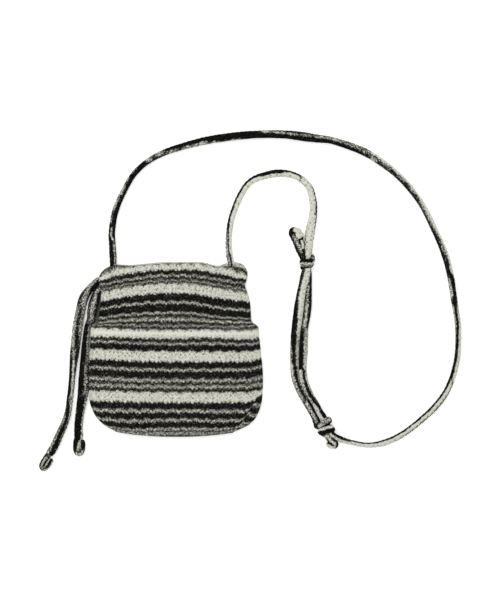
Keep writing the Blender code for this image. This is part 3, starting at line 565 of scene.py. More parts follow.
UPPER_END_RADIUS = 0.0036
LOWER_END_RADIUS = 0.0038
UPPER_END_ROUTE = (
    (0.1413, 0.0970, 0.0044, 0.90), (0.1401, 0.1012, 0.0044, 1.22), (0.1387, 0.1056, 0.0044, 1.40),
    (0.1368, 0.1100, 0.0043, 1.50), (0.1347, 0.1148, 0.0042, 1.46), (0.1321, 0.1201, 0.0042, 1.34),
    (0.1294, 0.1247, 0.0042, 1.22), (0.1278, 0.1275, 0.0046, 1.10), (0.1284, 0.1295, 0.0056, 0.98),
    (0.1308, 0.1301, 0.0066, 1.02), (0.1332, 0.1285, 0.0073, 1.16), (0.1351, 0.1256, 0.0074, 1.24),
    (0.1366, 0.1228, 0.0070, 1.14), (0.1379, 0.1197, 0.0060, 0.66), (0.1386, 0.1164, 0.0064, 0.80),
    (0.1389, 0.1124, 0.0062, 0.82), (0.1391, 0.1085, 0.0056, 0.62),
)
LOWER_END_ROUTE = (
    (0.1647, -0.0931, 0.0044, 0.80), (0.1675, -0.0970, 0.0048, 0.98), (0.1710, -0.1008, 0.0046, 1.16),
    (0.1741, -0.1038, 0.0044, 1.20), (0.1750, -0.1060, 0.0046, 0.95), (0.1724, -0.1071, 0.0052, 0.85),
    (0.1697, -0.1060, 0.0058, 0.92), (0.1677, -0.1043, 0.0060, 0.94), (0.1666, -0.1026, 0.0058, 0.80),
)
UPPER_END_STREAKS = streak_table(
    (0.000, 100, -45, 90, 20, 100), (0.007, 100, -45, 55, 5, 100), (0.014, 90, -45, 38, 30, 95),
    (0.024, 88, -50, 36, 35, 95), (0.030, 88, -45, 38, 20, 95), (0.033, 100, 0, 100, 40, 100),
    (0.037, 95, -20, 95, 40, 100), (0.039, 15, -80, 2, 50, 100), (0.043, 12, -90, 0, 78, 95),
    # Rows 0.050 and 0.052, all black, are painted shadow under the folded lobe, where it overhangs the flap.
    (0.048, 15, -80, 2, 80, 95), (0.050, 100, -30, 100, 80, 100), (0.052, 100, -30, 100, 80, 100),
    (0.053, 80, -70, 8, 50, 100), (0.064, 80, -60, 15, 30, 100),
)
LOWER_END_STREAKS = streak_table(
    (0.000, 10, -40, 10, 40, 20), (0.005, 60, -60, 22, 50, 40), (0.009, 95, -30, 26, 55, 85),
    (0.014, 80, -30, 15, 50, 100), (0.017, 80, -20, 15, 50, 100), (0.019, 10, 0, 60, 20, 100),
    (0.021, 4, -10, 20, 5, 100), (0.025, 6, -20, 40, 0, 100), (0.028, 80, -60, 100, 0, 100),
)


def turned_end(name, node, route, streaks, radius, material, seed):
    """A cord's folded end, as a piece of its own."""
    made, _, _ = laid_cord(name, route, streaks, radius, material, seed)
    stands_for(made, node)
    return made


upper_end = turned_end(
    "upper_folded_end", "upper_turned_end", UPPER_END_ROUTE, UPPER_END_STREAKS,
    UPPER_END_RADIUS, strap_knit, 5.0,
)
lower_end = turned_end(
    "lower_folded_end", "lower_turned_end", LOWER_END_ROUTE, LOWER_END_STREAKS,
    LOWER_END_RADIUS, strap_knit, 6.0,
)

# --- the drawcord's two ends --------------------------------------------------------------------
# A thinner tube of mostly black knit runs through the casing. Both its ends come out at the casing's left
# end and hang down beside the bag, each folded back at its tip and stitched, so that it can't pull through.

DRAWCORD_RADIUS = 0.0036
OUTER_END_RADIUS = 0.0036
INNER_END_RADIUS = 0.0033
CASED_FLAT = 0.60            # the share of its height that it keeps inside the casing
DRAWCORD_OUTER_ROUTE = (
    (-0.0806, 0.0768, 0.0070, 0.95), (-0.0850, 0.0750, 0.0062, 1.08), (-0.0892, 0.0712, 0.0050, 1.18),
    (-0.0950, 0.0652, 0.0043, 1.26), (-0.1010, 0.0557, 0.0043, 1.48), (-0.1043, 0.0436, 0.0042, 1.51),
    (-0.1075, 0.0271, 0.0042, 1.56), (-0.1092, 0.0130, 0.0042, 1.52), (-0.1107, 0.0000, 0.0042, 1.45),
    (-0.1121, -0.0110, 0.0040, 1.26), (-0.1133, -0.0235, 0.0036, 1.05), (-0.1147, -0.0400, 0.0034, 0.96),
    (-0.1167, -0.0565, 0.0034, 0.97), (-0.1187, -0.0709, 0.0035, 1.03), (-0.1226, -0.0830, 0.0038, 1.14),
    (-0.1287, -0.0962, 0.0040, 1.22), (-0.1337, -0.1072, 0.0041, 1.32), (-0.1371, -0.1132, 0.0041, 1.30),
    (-0.1396, -0.1170, 0.0040, 1.05),
)
DRAWCORD_INNER_ROUTE = (
    (-0.0796, 0.0694, 0.0068, 0.88), (-0.0832, 0.0664, 0.0060, 1.00), (-0.0866, 0.0612, 0.0050, 1.28),
    (-0.0896, 0.0520, 0.0050, 1.50), (-0.0922, 0.0400, 0.0050, 1.45), (-0.0930, 0.0325, 0.0045, 1.35),
    (-0.0968, 0.0245, 0.0042, 1.08), (-0.0984, 0.0120, 0.0042, 1.12), (-0.0993, 0.0000, 0.0042, 1.24),
    (-0.1006, -0.0196, 0.0042, 1.48), (-0.1013, -0.0395, 0.0042, 1.66), (-0.1020, -0.0499, 0.0042, 1.64),
    (-0.1038, -0.0597, 0.0042, 1.52), (-0.1053, -0.0697, 0.0042, 1.37), (-0.1064, -0.0796, 0.0042, 1.30),
    (-0.1068, -0.0895, 0.0042, 1.36), (-0.1067, -0.0964, 0.0043, 1.38), (-0.1074, -0.1010, 0.0042, 1.10),
)
DRAWCORD_OUTER_STREAKS = streak_table(
    (0.000, 100, 0, 45, 80, 45), (0.017, 100, 0, 42, 80, 45), (0.021, 100, -45, 45, 50, 70),
    (0.030, 80, -55, 42, 30, 72), (0.038, 60, -80, 42, 10, 80), (0.043, 50, -25, 85, 30, 45),
    (0.058, 50, -25, 85, 30, 42), (0.070, 45, -25, 92, 30, 45), (0.074, 60, -50, 100, 15, 42),
    (0.083, 65, -50, 100, 15, 42), (0.088, 90, -25, 42, 40, 70), (0.098, 85, -25, 36, 35, 85),
    (0.104, 80, -40, 24, 20, 100), (0.120, 65, -55, 22, 10, 100), (0.138, 45, -65, 26, 0, 100),
    (0.146, 38, -10, 100, 75, 75), (0.156, 35, -35, 100, 50, 60), (0.166, 52, -50, 100, 25, 52),
    (0.190, 60, -60, 100, 25, 50), (0.210, 80, -70, 100, 15, 45),
)
DRAWCORD_INNER_STREAKS = streak_table(
    (0.000, 100, -20, 50, 60, 100), (0.012, 90, -35, 42, 40, 85), (0.030, 85, -45, 38, 45, 70),
    (0.042, 75, -40, 45, 45, 75), (0.050, 50, -20, 100, 80, 100), (0.070, 50, -20, 100, 80, 100),
    (0.088, 55, -25, 100, 80, 100), (0.094, 80, -55, 40, -5, 100), (0.110, 75, -50, 38, -5, 100),
    (0.119, 60, -50, 36, -20, 100), (0.130, 42, -55, 100, 90, 100), (0.138, 38, -62, 100, 75, 65),
    (0.150, 38, -62, 100, 75, 60), (0.158, 32, -55, 100, 90, 85), (0.176, 30, -48, 100, 90, 90),
)
OUTER_END_ROUTE = (
    (-0.1376, -0.1131, 0.0040, 0.95), (-0.1405, -0.1175, 0.0040, 0.95), (-0.1436, -0.1221, 0.0040, 0.97),
    (-0.1462, -0.1265, 0.0041, 0.95), (-0.1471, -0.1294, 0.0043, 0.88), (-0.1455, -0.1316, 0.0045, 0.82),
    (-0.1429, -0.1307, 0.0047, 0.84), (-0.1400, -0.1274, 0.0047, 0.84), (-0.1376, -0.1236, 0.0046, 0.82),
    (-0.1358, -0.1208, 0.0044, 0.74),
)
INNER_END_ROUTE = (
    (-0.1067, -0.0967, 0.0044, 1.20), (-0.1088, -0.1020, 0.0042, 1.14), (-0.1093, -0.1080, 0.0041, 1.12),
    (-0.1090, -0.1128, 0.0042, 1.02), (-0.1068, -0.1154, 0.0045, 0.94), (-0.1040, -0.1140, 0.0047, 0.92),
    (-0.1028, -0.1093, 0.0048, 0.98), (-0.1028, -0.1032, 0.0047, 0.96), (-0.1032, -0.0998, 0.0046, 0.86),
)
OUTER_END_STREAKS = streak_table(
    (0.000, 20, -60, 100, 20, 45), (0.009, 95, -35, 40, 55, 95), (0.018, 95, -30, 45, 50, 90),
    (0.024, 40, -30, 75, 30, 30), (0.030, 15, -55, 100, 55, 35), (0.044, 15, -55, 100, 55, 20),
)
INNER_END_STREAKS = streak_table(
    (0.000, 60, -40, 100, 60, 100), (0.008, 15, -35, 100, 60, 100), (0.015, 20, -10, 100, 70, 80),
    (0.020, 90, -30, 15, 70, 30), (0.026, 60, -20, 60, 60, 80), (0.032, 30, -50, 100, 60, 100),
    (0.046, 20, -40, 100, 60, 100),
)
drawcord_knit = knit("drawcord_knit_yarn", *STRAP_YARN)
outer_end = turned_end(
    "outer_folded_end", "outer_turned_end", OUTER_END_ROUTE, OUTER_END_STREAKS,
    OUTER_END_RADIUS, drawcord_knit, 7.0,
)
inner_end = turned_end(
    "inner_folded_end", "inner_turned_end", INNER_END_ROUTE, INNER_END_STREAKS,
    INNER_END_RADIUS, drawcord_knit, 8.0,
)
for name, node, route, streaks, tip, seed in (
    ("drawcord_outer_tube", "drawcord_outer", DRAWCORD_OUTER_ROUTE, DRAWCORD_OUTER_STREAKS, outer_end, 9.0),
    ("drawcord_inner_tube", "drawcord_inner", DRAWCORD_INNER_ROUTE, DRAWCORD_INNER_STREAKS, inner_end, 10.0),
):
    made, line, length = laid_cord(name, route, streaks, DRAWCORD_RADIUS, drawcord_knit, seed, CASED_FLAT)
    stands_for(made, node)

# --- the back panel -----------------------------------------------------------------------------
# One piece of striped knit, from the mouth down to the bottom, flat on the table with its rim turned up to
# the seam. Its top edge is turned down inside and stitched, which makes the casing of two layers.

PANEL_YARN = (1.20, 3.2)     # as the strap's, but softer and less speckled
CLOTH = 0.0025
CASING_CLOTH = 0.0045
SEAM_HEIGHT = 0.0045         # how high the side seams lie
HALF_WIDTH, HALF_BULGE = 0.094, 0.0078   # of the section that the columns of stitches are spread over
SQUARE_ACROSS = 5.0          # the higher these two, the squarer a panel's section is at its sides
SQUARE_UP = 2.2
BACK_FLATNESS = 16.0         # how close to its rim the back still lies flat
BACK_SPREAD = 1.06
BACK_ROW, BACK_COLUMNS = 0.0010, 158
FINE_COLUMNS = 4000
INNER_RELIEF = 0.6           # the stitches stand out less on a panel's hidden side
LIP_STEP = 0.0008            # half of how far the back's edge shows above the front's
BACK_LIP = 0.0920            # above this the back stays ecru, up to its edge
WALES = 39.5                 # columns of stitches across a panel
CASING_SEAM = 0.0734         # the height of the casing's stitching, at the middle of the panel
BACK_DENT, STITCHING = 0.0004, 0.0008    # how deep a line of stitching presses in, and half its width

# The back's left edge reaches out under the drawcord as a sheet of painted shadow, smooth dark grey and
# lighter towards the bag, for the shade between cord and bag: how far it reaches, at heights from the
# pocket's mouth to the casing, and how dark the painted shadow is at each such distance.
PAINTED_SHADOW_REACH = (
    (0.0242, 0.0), (0.0285, 0.0050), (0.0370, 0.0068), (0.0470, 0.0069), (0.0560, 0.0042), (0.0640, 0.0),
)
PAINTED_SHADOW_SHADES = ((0.0, 0.34), (0.0022, 0.36), (0.0040, 0.56), (0.0070, 0.68))
REACH_FROM, REACH_WIDTH = -0.86, 0.14    # the strip of the panel, across it, that is drawn out
SHADOW_BLEND = 0.0010

# One course of stitches, from the left seam to the right seam. It bows by mid_y, and a high `bow` keeps the
# middle of it straight. `crown` is the front's height, `rise` how much of it is left as the bottom rolls
# down to its seam, `cloth` the thickness, and `tuck` how far the front's edge lies in under the pocket's.
Course = namedtuple("Course", "left_x left_y mid_y right_x right_y bow crown rise cloth tuck")

COURSES = (
    # the mouth and its casing, down to the casing's stitched edge
    Course(-0.0838, 0.0815, 0.0947, 0.0788, 0.0818, 14.0, 0.0138, 1.00, CASING_CLOTH, 0.0),
    Course(-0.0848, 0.0780, 0.0911, 0.0788, 0.0783, 5.0, 0.0143, 1.00, CASING_CLOTH, 0.0),
    Course(-0.0846, 0.0735, 0.0845, 0.0774, 0.0739, 2.4, 0.0144, 1.00, CASING_CLOTH, 0.0),
    Course(-0.0835, 0.0680, 0.0785, 0.0760, 0.0690, 2.0, 0.0138, 1.00, CASING_CLOTH, 0.0),
    Course(-0.0820, 0.0624, 0.0726, 0.0782, 0.0632, 2.0, 0.0121, 1.00, 0.0030, 0.0),
    # the upper body, gathered a little by the casing
    Course(-0.0823, 0.0560, 0.0668, 0.0805, 0.0565, 2.0, 0.0126, 1.00, CLOTH, 0.0),
    Course(-0.0831, 0.0470, 0.0560, 0.0820, 0.0470, 2.0, 0.0129, 1.00, CLOTH, 0.0),
    Course(-0.0844, 0.0370, 0.0450, 0.0826, 0.0370, 2.2, 0.0129, 1.00, CLOTH, 0.0),
    Course(-0.0866, 0.0285, 0.0340, 0.0838, 0.0296, 2.4, 0.0127, 1.00, CLOTH, 0.0010),
    # the pocket's mouth and its hem
    Course(-0.0930, 0.0242, 0.0229, 0.0906, 0.0238, 4.0, 0.0126, 1.00, CLOTH, 0.0030),
    Course(-0.0938, 0.0130, 0.0120, 0.0918, 0.0115, 4.0, 0.0126, 1.00, CLOTH, 0.0030),
    Course(-0.0943, 0.0075, 0.0065, 0.0925, 0.0060, 4.0, 0.0126, 1.00, CLOTH, 0.0030),
    # the lower body, and its rounded corners
    Course(-0.0948, -0.0100, -0.0108, 0.0943, -0.0105, 4.0, 0.0126, 1.00, CLOTH, 0.0030),
    Course(-0.0953, -0.0280, -0.0285, 0.0957, -0.0280, 4.0, 0.0126, 1.00, CLOTH, 0.0030),
    Course(-0.0958, -0.0450, -0.0452, 0.0956, -0.0450, 4.0, 0.0125, 1.00, CLOTH, 0.0030),
    Course(-0.0946, -0.0585, -0.0590, 0.0946, -0.0575, 3.0, 0.0124, 1.00, CLOTH, 0.0030),
    Course(-0.0907, -0.0695, -0.0706, 0.0912, -0.0690, 2.5, 0.0122, 1.00, CLOTH, 0.0030),
    Course(-0.0850, -0.0780, -0.0805, 0.0866, -0.0775, 2.4, 0.0119, 0.99, CLOTH, 0.0030),
    Course(-0.0772, -0.0848, -0.0884, 0.0791, -0.0844, 2.4, 0.0117, 0.92, CLOTH, 0.0030),
    Course(-0.0708, -0.0884, -0.0933, 0.0712, -0.0882, 2.4, 0.0115, 0.73, CLOTH, 0.0030),
    Course(-0.0664, -0.0909, -0.0962, 0.0656, -0.0906, 2.4, 0.0114, 0.42, CLOTH, 0.0030),
    Course(-0.0636, -0.0920, -0.0971, 0.0622, -0.0926, 2.4, 0.0113, 0.00, CLOTH, 0.0030),
)

WAVE_ROWS = 4                # rows of the table over which the mouth's waves die away
SMOOTHED = 40                # smooth rows for each of the table's

# How the mouth's edge rises and dips, and half of how much further the back's edge shows above the front's.
LipWave = namedtuple("LipWave", "across reach lift apart")
LIP_WAVES = (
    LipWave(-0.97, 0.13, 0.0002, 0.0004),
    LipWave(-0.92, 0.08, -0.0018, 0.0000),
    LipWave(-0.60, 0.30, -0.0030, 0.0000),
    LipWave(0.61, 0.15, -0.0042, 0.0000),
    LipWave(0.84, 0.12, -0.0010, 0.0021),
    LipWave(0.99, 0.09, 0.0020, 0.0012),
)

# Stripes from the top down: where each ends at the middle of the panel, how dark it is, and how many rows of
# stitches it has.
Stripe = namedtuple("Stripe", "down_to dark courses")
STRIPES = (
    Stripe(0.0938, 0.78, 0.3), Stripe(0.0868, 0.06, 2), Stripe(0.0822, 0.97, 1), Stripe(0.0796, 0.32, 1),
    Stripe(0.0760, 0.85, 1), Stripe(0.0737, 0.38, 0.7), Stripe(0.0716, 0.84, 0.3), Stripe(0.0610, 0.04, 3),
    Stripe(0.0525, 1.00, 2), Stripe(0.0496, 0.25, 1), Stripe(0.0408, 1.00, 2), Stripe(0.0384, 0.25, 1),
    Stripe(0.0340, 0.85, 1), Stripe(0.0304, 0.28, 1), Stripe(0.0266, 0.85, 1), Stripe(0.0238, 0.35, 1),
    Stripe(0.0206, 0.85, 1), Stripe(0.0109, 0.02, 3), Stripe(0.0065, 0.88, 1), Stripe(0.0041, 0.25, 1),
    Stripe(-0.0028, 1.00, 2), Stripe(-0.0144, 0.03, 3), Stripe(-0.0215, 1.00, 2), Stripe(-0.0248, 0.30, 1),
    Stripe(-0.0328, 1.00, 2), Stripe(-0.0364, 0.32, 1), Stripe(-0.0402, 0.85, 1), Stripe(-0.0435, 0.32, 1),
    Stripe(-0.0478, 0.88, 1), Stripe(-0.0592, 0.03, 3), Stripe(-0.0664, 1.00, 2), Stripe(-0.0700, 0.30, 1),
    Stripe(-0.0762, 1.00, 2), Stripe(-0.0796, 0.30, 1), Stripe(-0.0858, 1.00, 2), Stripe(-0.0886, 0.32, 1),
    Stripe(-0.0912, 0.75, 1), Stripe(-0.0943, 0.35, 1), Stripe(-0.0990, 0.80, 1),
)
MOUTH = 0.0958
STRIPE_FUZZ = 0.0015         # the yarn's fuzz blurs each change of colour by this much to both sides,
FUZZ_SHARE = 0.45            # but by no more than this share of a narrow stripe
ZIGZAG = 0.0010              # the stripes' edges follow the stitches' Vs,
RIPPLE, RIPPLE_WALES = 0.0014, 3         # and rise and fall a little every third wale
RIPPLE_START = 0.33          # the share of a ripple by which these waves are set over, at the origin's height
RIPPLE_SLANT = 8.6           # and how much more for each metre up, because the columns of stitches lean
RIPPLE_MEAN = 0.64
STRIPE_WANDER = 0.0003

# Where the rows of stitches have drifted from lying straight: a rise shows the knit of a higher row there.
Drift = namedtuple("Drift", "across height reach_across reach_height rise")
DRIFTS = (
    Drift(-0.84, 0.0935, 0.24, 0.0045, 0.0020),
    Drift(0.88, 0.0940, 0.20, 0.0050, 0.0026),
    Drift(0.62, 0.0450, 0.28, 0.0230, 0.0038),
    Drift(0.70, 0.0850, 0.35, 0.0080, -0.0010),
    Drift(0.42, 0.0150, 0.25, 0.0110, -0.0020),
    Drift(-1.00, -0.0150, 0.48, 0.0600, -0.0023),
    Drift(-0.50, -0.0600, 0.38, 0.0120, -0.0007),
    Drift(-0.70, -0.0870, 0.42, 0.0170, 0.0031),
    Drift(0.72, -0.0860, 0.40, 0.0200, 0.0024),
    Drift(0.75, 0.0725, 0.30, 0.0050, 0.0010),
    Drift(1.04, -0.0300, 0.14, 0.0400, -0.0036),
)


def swelling(across, up, rise):
    """A round hump, `rise` high in its middle, at these shares of its reach away."""
    return rise * np.exp(-(across ** 2) - up ** 2)


def drifted(across, height):
    """The height whose knit is to be seen here."""
    shift = sum(
        swelling((across - d.across) / d.reach_across, (height - d.height) / d.reach_height, d.rise)
        for d in DRIFTS
    )
    return height + shift


def course_at(height):
    """The row of stitches at a height on the panel's middle line, counted from the mouth."""
    ends = np.array([MOUTH, *(stripe.down_to for stripe in STRIPES)])
    counted = np.cumsum([0.0, *(stripe.courses for stripe in STRIPES)])
    return np.interp(-height, -ends, counted)


def stripe_shade(height, wale):
    """How dark the yarn is: the stripe's own shade, with its edges zigzagging along the stitches."""
    side = np.abs(wale % 1.0 - 0.5) * 2
    wave = wale / RIPPLE_WALES - RIPPLE_START - RIPPLE_SLANT * height
    scallop = np.abs(np.sin(math.pi * wave)) - RIPPLE_MEAN
    at = height - (side - 0.5) * ZIGZAG - scallop * RIPPLE + STRIPE_WANDER * wander(wale * 0.9, 3.0)
    places, shades = [], []
    for upper, lower in zip(STRIPES, STRIPES[1:]):
        fuzz = min(STRIPE_FUZZ, (upper.down_to - lower.down_to) * FUZZ_SHARE)
        places += [upper.down_to + fuzz, upper.down_to - fuzz]
        shades += [upper.dark, lower.dark]
    return np.interp(-at, -np.array(places), shades)


def smooth_courses():
    """The table with smooth rows between its own, one array a column, and how far down each of them lies."""
    rows = np.array(COURSES)
    last = len(rows) - 1
    place = np.linspace(0, last, last * SMOOTHED + 1)
    i = np.minimum(place.astype(int), last - 1)
    s = (place - i)[:, None]
    before, after = rows[np.maximum(i - 1, 0)], rows[np.minimum(i + 2, last)]
    begin, end = rows[i], rows[i + 1]
    smooth = Course(*eased(begin, (end - before) / 2, end, (after - begin) / 2, s).T)
    down = reach(np.hypot(np.diff(smooth.mid_y), np.diff(smooth.crown * smooth.rise)))
    return place, smooth, down


def side_fall(across):
    """1 in the middle of a panel and 0 at its side seams."""
    return np.maximum(0.0, 1 - np.abs(across) ** SQUARE_ACROSS) ** (1 / SQUARE_UP)


def cut_panel(pick, columns):
    """A panel's grid, a row at each picked distance down it. It gives each row's values and its place in the
    table, each column's share across and its wale, the height whose knit is to be seen at each point, and
    each row's distance from the panel's edge."""
    place, rows, down = smooth_courses()
    picked = pick(down[-1])
    rows = Course(*(np.interp(picked, down, column)[:, None] for column in rows))
    table_place = np.interp(picked, down, place)
    across = np.linspace(-1.0, 1.0, FINE_COLUMNS + 1)
    bend = reach(np.hypot(HALF_WIDTH * np.diff(across), HALF_BULGE * np.diff(side_fall(across))))
    across = np.interp(np.linspace(0.0, bend[-1], columns + 1), bend, across)[None, :]
    wale = np.linspace(0.0, WALES, columns + 1)[None, :]
    height = drifted(across, rows.mid_y)
    return rows, table_place[:, None], across, wale, height, (picked - picked[0])[:, None]


def on_course(row, across, inset, back, table_place):
    """The place in plan at a share across the course, with the seam drawn in by the inset. `back` is 1 for
    the back, -1 for the front and 0 for the pocket."""
    left, right = row.left_x + inset, row.right_x - inset
    x = left + (right - left) * (across + 1) / 2
    ends_y = row.left_y + (row.right_y - row.left_y) * (across + 1) / 2
    bowed = (row.mid_y - (row.left_y + row.right_y) / 2) * (1 - np.abs(across) ** row.bow)
    drawn_in = inset * np.sqrt(np.maximum(0.0, 1 - row.rise ** 2))
    mouth_share = np.maximum(0.0, 1 - table_place / WAVE_ROWS)
    waves = sum(swelling((across - w.across) / w.reach, 0.0, w.lift + back * w.apart) for w in LIP_WAVES)
    return x, ends_y + bowed + drawn_in + mouth_share * (waves + back * LIP_STEP * (1 - across ** 4))


def lip_round(down, radius):
    """How far a face curves over at a folded edge, at each distance down from it."""
    near = np.clip(1 - down / radius, 0.0, 1.0)
    return radius * (1 - np.sqrt(1 - near ** 2))


def faced(x, y, z, depth, outward):
    """A grid of points with its stitches standing out and its seams pressed in."""
    x, y, z = np.broadcast_arrays(x, y, z)
    flat = np.stack([x, y, z], axis=-1)
    normal = np.cross(np.gradient(flat, axis=1), -np.gradient(flat, axis=0))
    normal /= np.maximum(np.linalg.norm(normal, axis=-1, keepdims=True), 1e-12)
    return flat + normal * (outward * depth)[:, :, None]


def panel(name, outside, inside, wale, course, dark, material, smoothing=0.0):
    """A closed sheet of cloth between two grids of points. Its stitches can be pulled smooth, or smoothed
    under painted shadow.
    """
    rows, columns = outside.shape[:2]
    index = np.arange(rows * columns).reshape(rows, columns)
    top = np.stack([index[:-1, :-1], index[1:, :-1], index[1:, 1:], index[:-1, 1:]], axis=-1).reshape(-1, 4)
    rim = np.concatenate([index[0, :-1], index[:-1, -1], index[-1, :0:-1], index[:0:-1, 0]])
    onward = np.roll(rim, -1)
    count = rows * columns
    wall = np.stack([rim, onward, onward + count, rim + count], axis=-1)
    faces = np.concatenate([top, top[:, ::-1] + count, wall])
    stitch = np.stack(np.broadcast_arrays(wale, course, smoothing), axis=-1).reshape(-1, 3)
    points = np.concatenate([outside.reshape(-1, 3), inside.reshape(-1, 3)])
    return as_piece(name, points, faces, np.tile(stitch, (2, 1)), np.tile(dark.ravel(), 2), material)


def line_at(rows, height, half_width):
    """1 along a line of stitching at this height, fading out to both sides of it."""
    return np.exp(-(((rows.mid_y - height) / half_width) ** 2))


def relief_left(across, down, to_sides, to_lip):
    """How much the stitches stand out, dying away towards the side seams and the folded edge."""
    return np.minimum(1.0, (1 - np.abs(across)) * to_sides) * np.minimum(1.0, down / to_lip)


def back_height(row, across, cloth):
    """How high the back lies: flat on the table, and turned up to the seam at its rim."""
    flat = np.maximum(0.0, 1 - np.abs(across) ** BACK_FLATNESS) ** 0.5 * np.maximum(0.0, row.rise) ** 0.35
    turned_up = np.where(flat <= 0.0, 1.0, 1 - np.minimum(1.0, BACK_SPREAD * flat))
    return cloth + (SEAM_HEIGHT - cloth) * turned_up


def evenly(step):
    """A way to pick rows down a panel: a step apart, over its whole length."""
    return lambda length: np.linspace(0.0, length, round(length / step) + 1)


rows, at, across, wale, height, down = cut_panel(evenly(BACK_ROW), BACK_COLUMNS)
edge = relief_left(across, down, to_sides=12, to_lip=0.004)
course = course_at(height)
rise = stitch_rise(wale, course) - 1
seam = BACK_DENT * line_at(rows, CASING_SEAM, STITCHING)
shadow_strip = np.clip((REACH_FROM - across) / REACH_WIDTH, 0.0, 1.0)
shadow_sheet_reach = np.interp(rows.left_y, *zip(*PAINTED_SHADOW_REACH)) * shadow_strip
x, y = on_course(rows, across, 0.0, 1, at)
x = x - shadow_sheet_reach
z = back_height(rows, across, 0.0) + lip_round(down, CASING_CLOTH / 2)
outside = faced(x, y, z, edge * (STITCH_DEPTH * rise - seam), -1.0)
x, y = on_course(rows, across, rows.tuck + rows.cloth, 1, at)
x = x - shadow_sheet_reach
z = back_height(rows, across, rows.cloth) - lip_round(down, CASING_CLOTH / 2)
inside = faced(x, y, z, edge * STITCH_DEPTH * INNER_RELIEF * rise, 1.0)
outside[:, :, 2] = np.maximum(outside[:, :, 2], 0.0)
# Painted shadow: where the edge reaches under the cord, the stripes give way to its smooth dark grey.
reached = np.clip(shadow_sheet_reach / SHADOW_BLEND, 0.0, 1.0)
painted_cord_shadow = np.interp(shadow_sheet_reach, *zip(*PAINTED_SHADOW_SHADES))
shade = stripe_shade(np.minimum(height, BACK_LIP), wale) * (1 - reached) + painted_cord_shadow * reached
back_knit = knit("back_knit_yarn", *PANEL_YARN)
back = panel("back_cloth", outside, inside, wale, course, shade, back_knit, reached)
stands_for(back, "back_panel")

# --- the front panel ----------------------------------------------------------------------------
# The same knit over the back, joined to it round the sides and bottom, with the same turned-down casing.
# The mouth and its stitching draw it in a little, so the stripes bow upwards in the middle.

Swell = namedtuple("Swell", "x y reach_x reach_y rise")
SWELLS = (
    Swell(-0.055, 0.050, 0.016, 0.020, 0.0009),
    Swell(-0.020, 0.052, 0.012, 0.018, -0.0007),
    Swell(0.034, 0.046, 0.018, 0.014, 0.0007),
    Swell(0.058, 0.062, 0.010, 0.022, -0.0008),
    Swell(-0.060, -0.040, 0.024, 0.030, 0.0008),
    Swell(0.062, -0.052, 0.022, 0.026, 0.0009),
    Swell(0.004, -0.066, 0.034, 0.016, -0.0007),
)
# The casing's left end stands open for the drawcord.
CORD_OPENING = Drift(-1.0, 0.0800, 0.09, 0.0105, 0.0040)
FINE_DOWN_TO = 0.088         # below this the front lies hidden behind the pocket
HIDDEN_ROWS = 32
ROW_STEP = 0.00075
FRONT_COLUMNS = 237
FRONT_RELIEF = 1.2           # how far the stitches stand out on the front and the pocket, for 1 on the back
FRONT_DENT, FRONT_STITCHING = 0.0009, 0.0009
PLY_GAP = 0.0003             # between two layers of cloth


def front_height(row, across, x, y, lift):
    """How high the front lies over the back, lifted by so much away from its seams."""
    beside = (across - CORD_OPENING.across) / CORD_OPENING.reach_across
    below = (row.mid_y - CORD_OPENING.height) / CORD_OPENING.reach_height
    seam = SEAM_HEIGHT + PLY_GAP + swelling(beside, below, CORD_OPENING.rise)
    swell = sum(swelling((x - w.x) / w.reach_x, (y - w.y) / w.reach_y, w.rise) for w in SWELLS)
    return seam + (row.crown + lift + swell - seam) * side_fall(across) * np.maximum(0.0, row.rise)


def fine_then_coarse(length):
    """Rows close together where the front is seen, and a few down behind the pocket."""
    fine = np.arange(0.0, FINE_DOWN_TO, ROW_STEP)
    return np.concatenate([fine, np.linspace(FINE_DOWN_TO, length, HIDDEN_ROWS)])


rows, at, across, wale, height, down = cut_panel(fine_then_coarse, FRONT_COLUMNS)
edge = relief_left(across, down, to_sides=14, to_lip=0.003) * (down < FINE_DOWN_TO - 0.001)
course = course_at(height)
rise = stitch_rise(wale, course) - 1
seam = FRONT_DENT * line_at(rows, CASING_SEAM, FRONT_STITCHING)
x, y = on_course(rows, across, rows.tuck, -1, at)
z = front_height(rows, across, x, y, 0.0) - lip_round(down, CASING_CLOTH / 2)
outside = faced(x, y, z, edge * (STITCH_DEPTH * rise * FRONT_RELIEF - seam), 1.0)
x, y = on_course(rows, across, rows.tuck + rows.cloth, -1, at)
z = front_height(rows, across, x, y, -rows.cloth) + lip_round(down, CASING_CLOTH / 2)
inside = faced(x, y, z, edge * STITCH_DEPTH * INNER_RELIEF * rise, -1.0)
front_knit = knit("front_knit_yarn", *PANEL_YARN)
front = panel("front_cloth", outside, inside, wale, course, stripe_shade(height, wale), front_knit)
stands_for(front, "front_panel")

# --- the front pocket ---------------------------------------------------------------------------
# A second panel over the lower front, caught in the same side and bottom seams. Its top edge is turned
# inside as an ecru hem, and it stands off the front there, so that the pocket gapes a little.

POCKET_MOUTH = 9             # the row of the table where it starts
# How far it stands off the front, at each row of the table from its mouth down.
STAND_OFF = (0.0054, 0.0053, 0.0052, 0.0049, 0.0040, 0.0030, 0.0020, 0.0012, 0.0006, 0.0003, 0.0)
HEM_CLOTH = 0.0034
HEM_THINS = (1, 2)           # between these of its rows the hem's cloth thins out to the pocket's own
POCKET_LIP = 0.0017
HEM_SEAM, HEM_DENT = 0.0115, 0.0006
# Painted highlight: the smoothed hem is also coloured a little lighter, a bright line along it.
HEM_MIDDLE = 0.0167          # round here the hem's stitches are pulled smooth
HEM_SMOOTH = 0.0017          # and this far to both sides

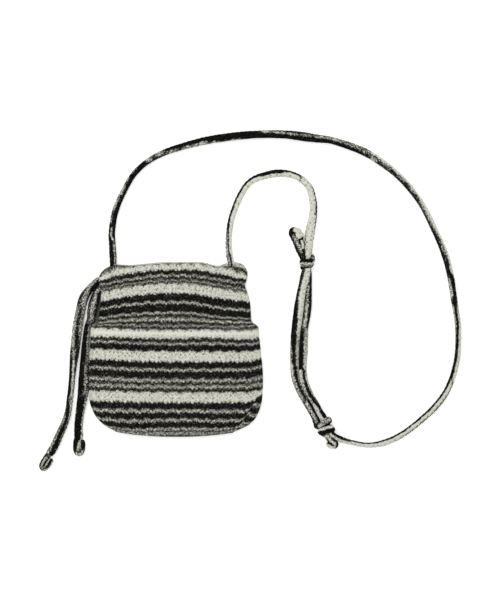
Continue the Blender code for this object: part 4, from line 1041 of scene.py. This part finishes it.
# At the lower right corner the cloth is turned at a slanting seam, past which its stripes run on higher up.
CORNER_SEAM = ((0.0716, -0.0829), (0.0892, -0.0543))
CORNER_DENT, CORNER_STITCHING = 0.0009, 0.0011
CORNER_BELOW = -0.040
PAST_SEAM_RISE = -0.0062
PAST_SEAM_SLOPE = 0.42
PAST_SEAM_BLEND = 0.0012


def past_corner_seam(x, y):
    """How far a place lies outside the slanting seam."""
    (x0, y0), (x1, y1) = CORNER_SEAM
    return ((x - x0) * (y1 - y0) - (y - y0) * (x1 - x0)) / math.hypot(x1 - x0, y1 - y0)


def pocket_rows(length):
    """Rows a step apart from the pocket's mouth down."""
    place, _, down = smooth_courses()
    top = np.interp(POCKET_MOUTH, place, down)
    return np.linspace(top, length, round((length - top) / ROW_STEP) + 1)


rows, at, across, wale, height, down = cut_panel(pocket_rows, FRONT_COLUMNS)
edge = relief_left(across, down, to_sides=14, to_lip=0.002)
course = course_at(height)
rise = stitch_rise(wale, course) - 1
off = PLY_GAP + np.interp(at - POCKET_MOUTH, range(len(STAND_OFF)), STAND_OFF) * (1 - across ** 4)
cloth = np.interp(at - POCKET_MOUTH, HEM_THINS, (HEM_CLOTH, CLOTH))
x, y = on_course(rows, across, 0.0, 0, at)
past = past_corner_seam(x, y)
raised = PAST_SEAM_RISE + PAST_SEAM_SLOPE * np.maximum(past, 0.0)
height = height + np.clip(past / PAST_SEAM_BLEND + 0.5, 0.0, 1.0) * raised
corner_groove = CORNER_DENT * np.exp(-((past / CORNER_STITCHING) ** 2)) * (y < CORNER_BELOW)
hem = line_at(rows, HEM_MIDDLE, HEM_SMOOTH)
seam = HEM_DENT * line_at(rows, HEM_SEAM, STITCHING)
relief = STITCH_DEPTH * rise * FRONT_RELIEF * (1 - hem) - seam - corner_groove
z = front_height(rows, across, x, y, off + cloth) - lip_round(down, POCKET_LIP)
outside = faced(x, y, z, edge * relief, 1.0)
x, y = on_course(rows, across, CLOTH, 0, at)
z = front_height(rows, across, x, y, off) + lip_round(down, POCKET_LIP)
inside = faced(x, y, z, edge * STITCH_DEPTH * INNER_RELIEF * rise, -1.0)
pocket_knit = knit("pocket_knit_yarn", *PANEL_YARN)
pocket = panel("pocket_cloth", outside, inside, wale, course, stripe_shade(height, wale), pocket_knit, hem)
stands_for(pocket, "front_pocket")
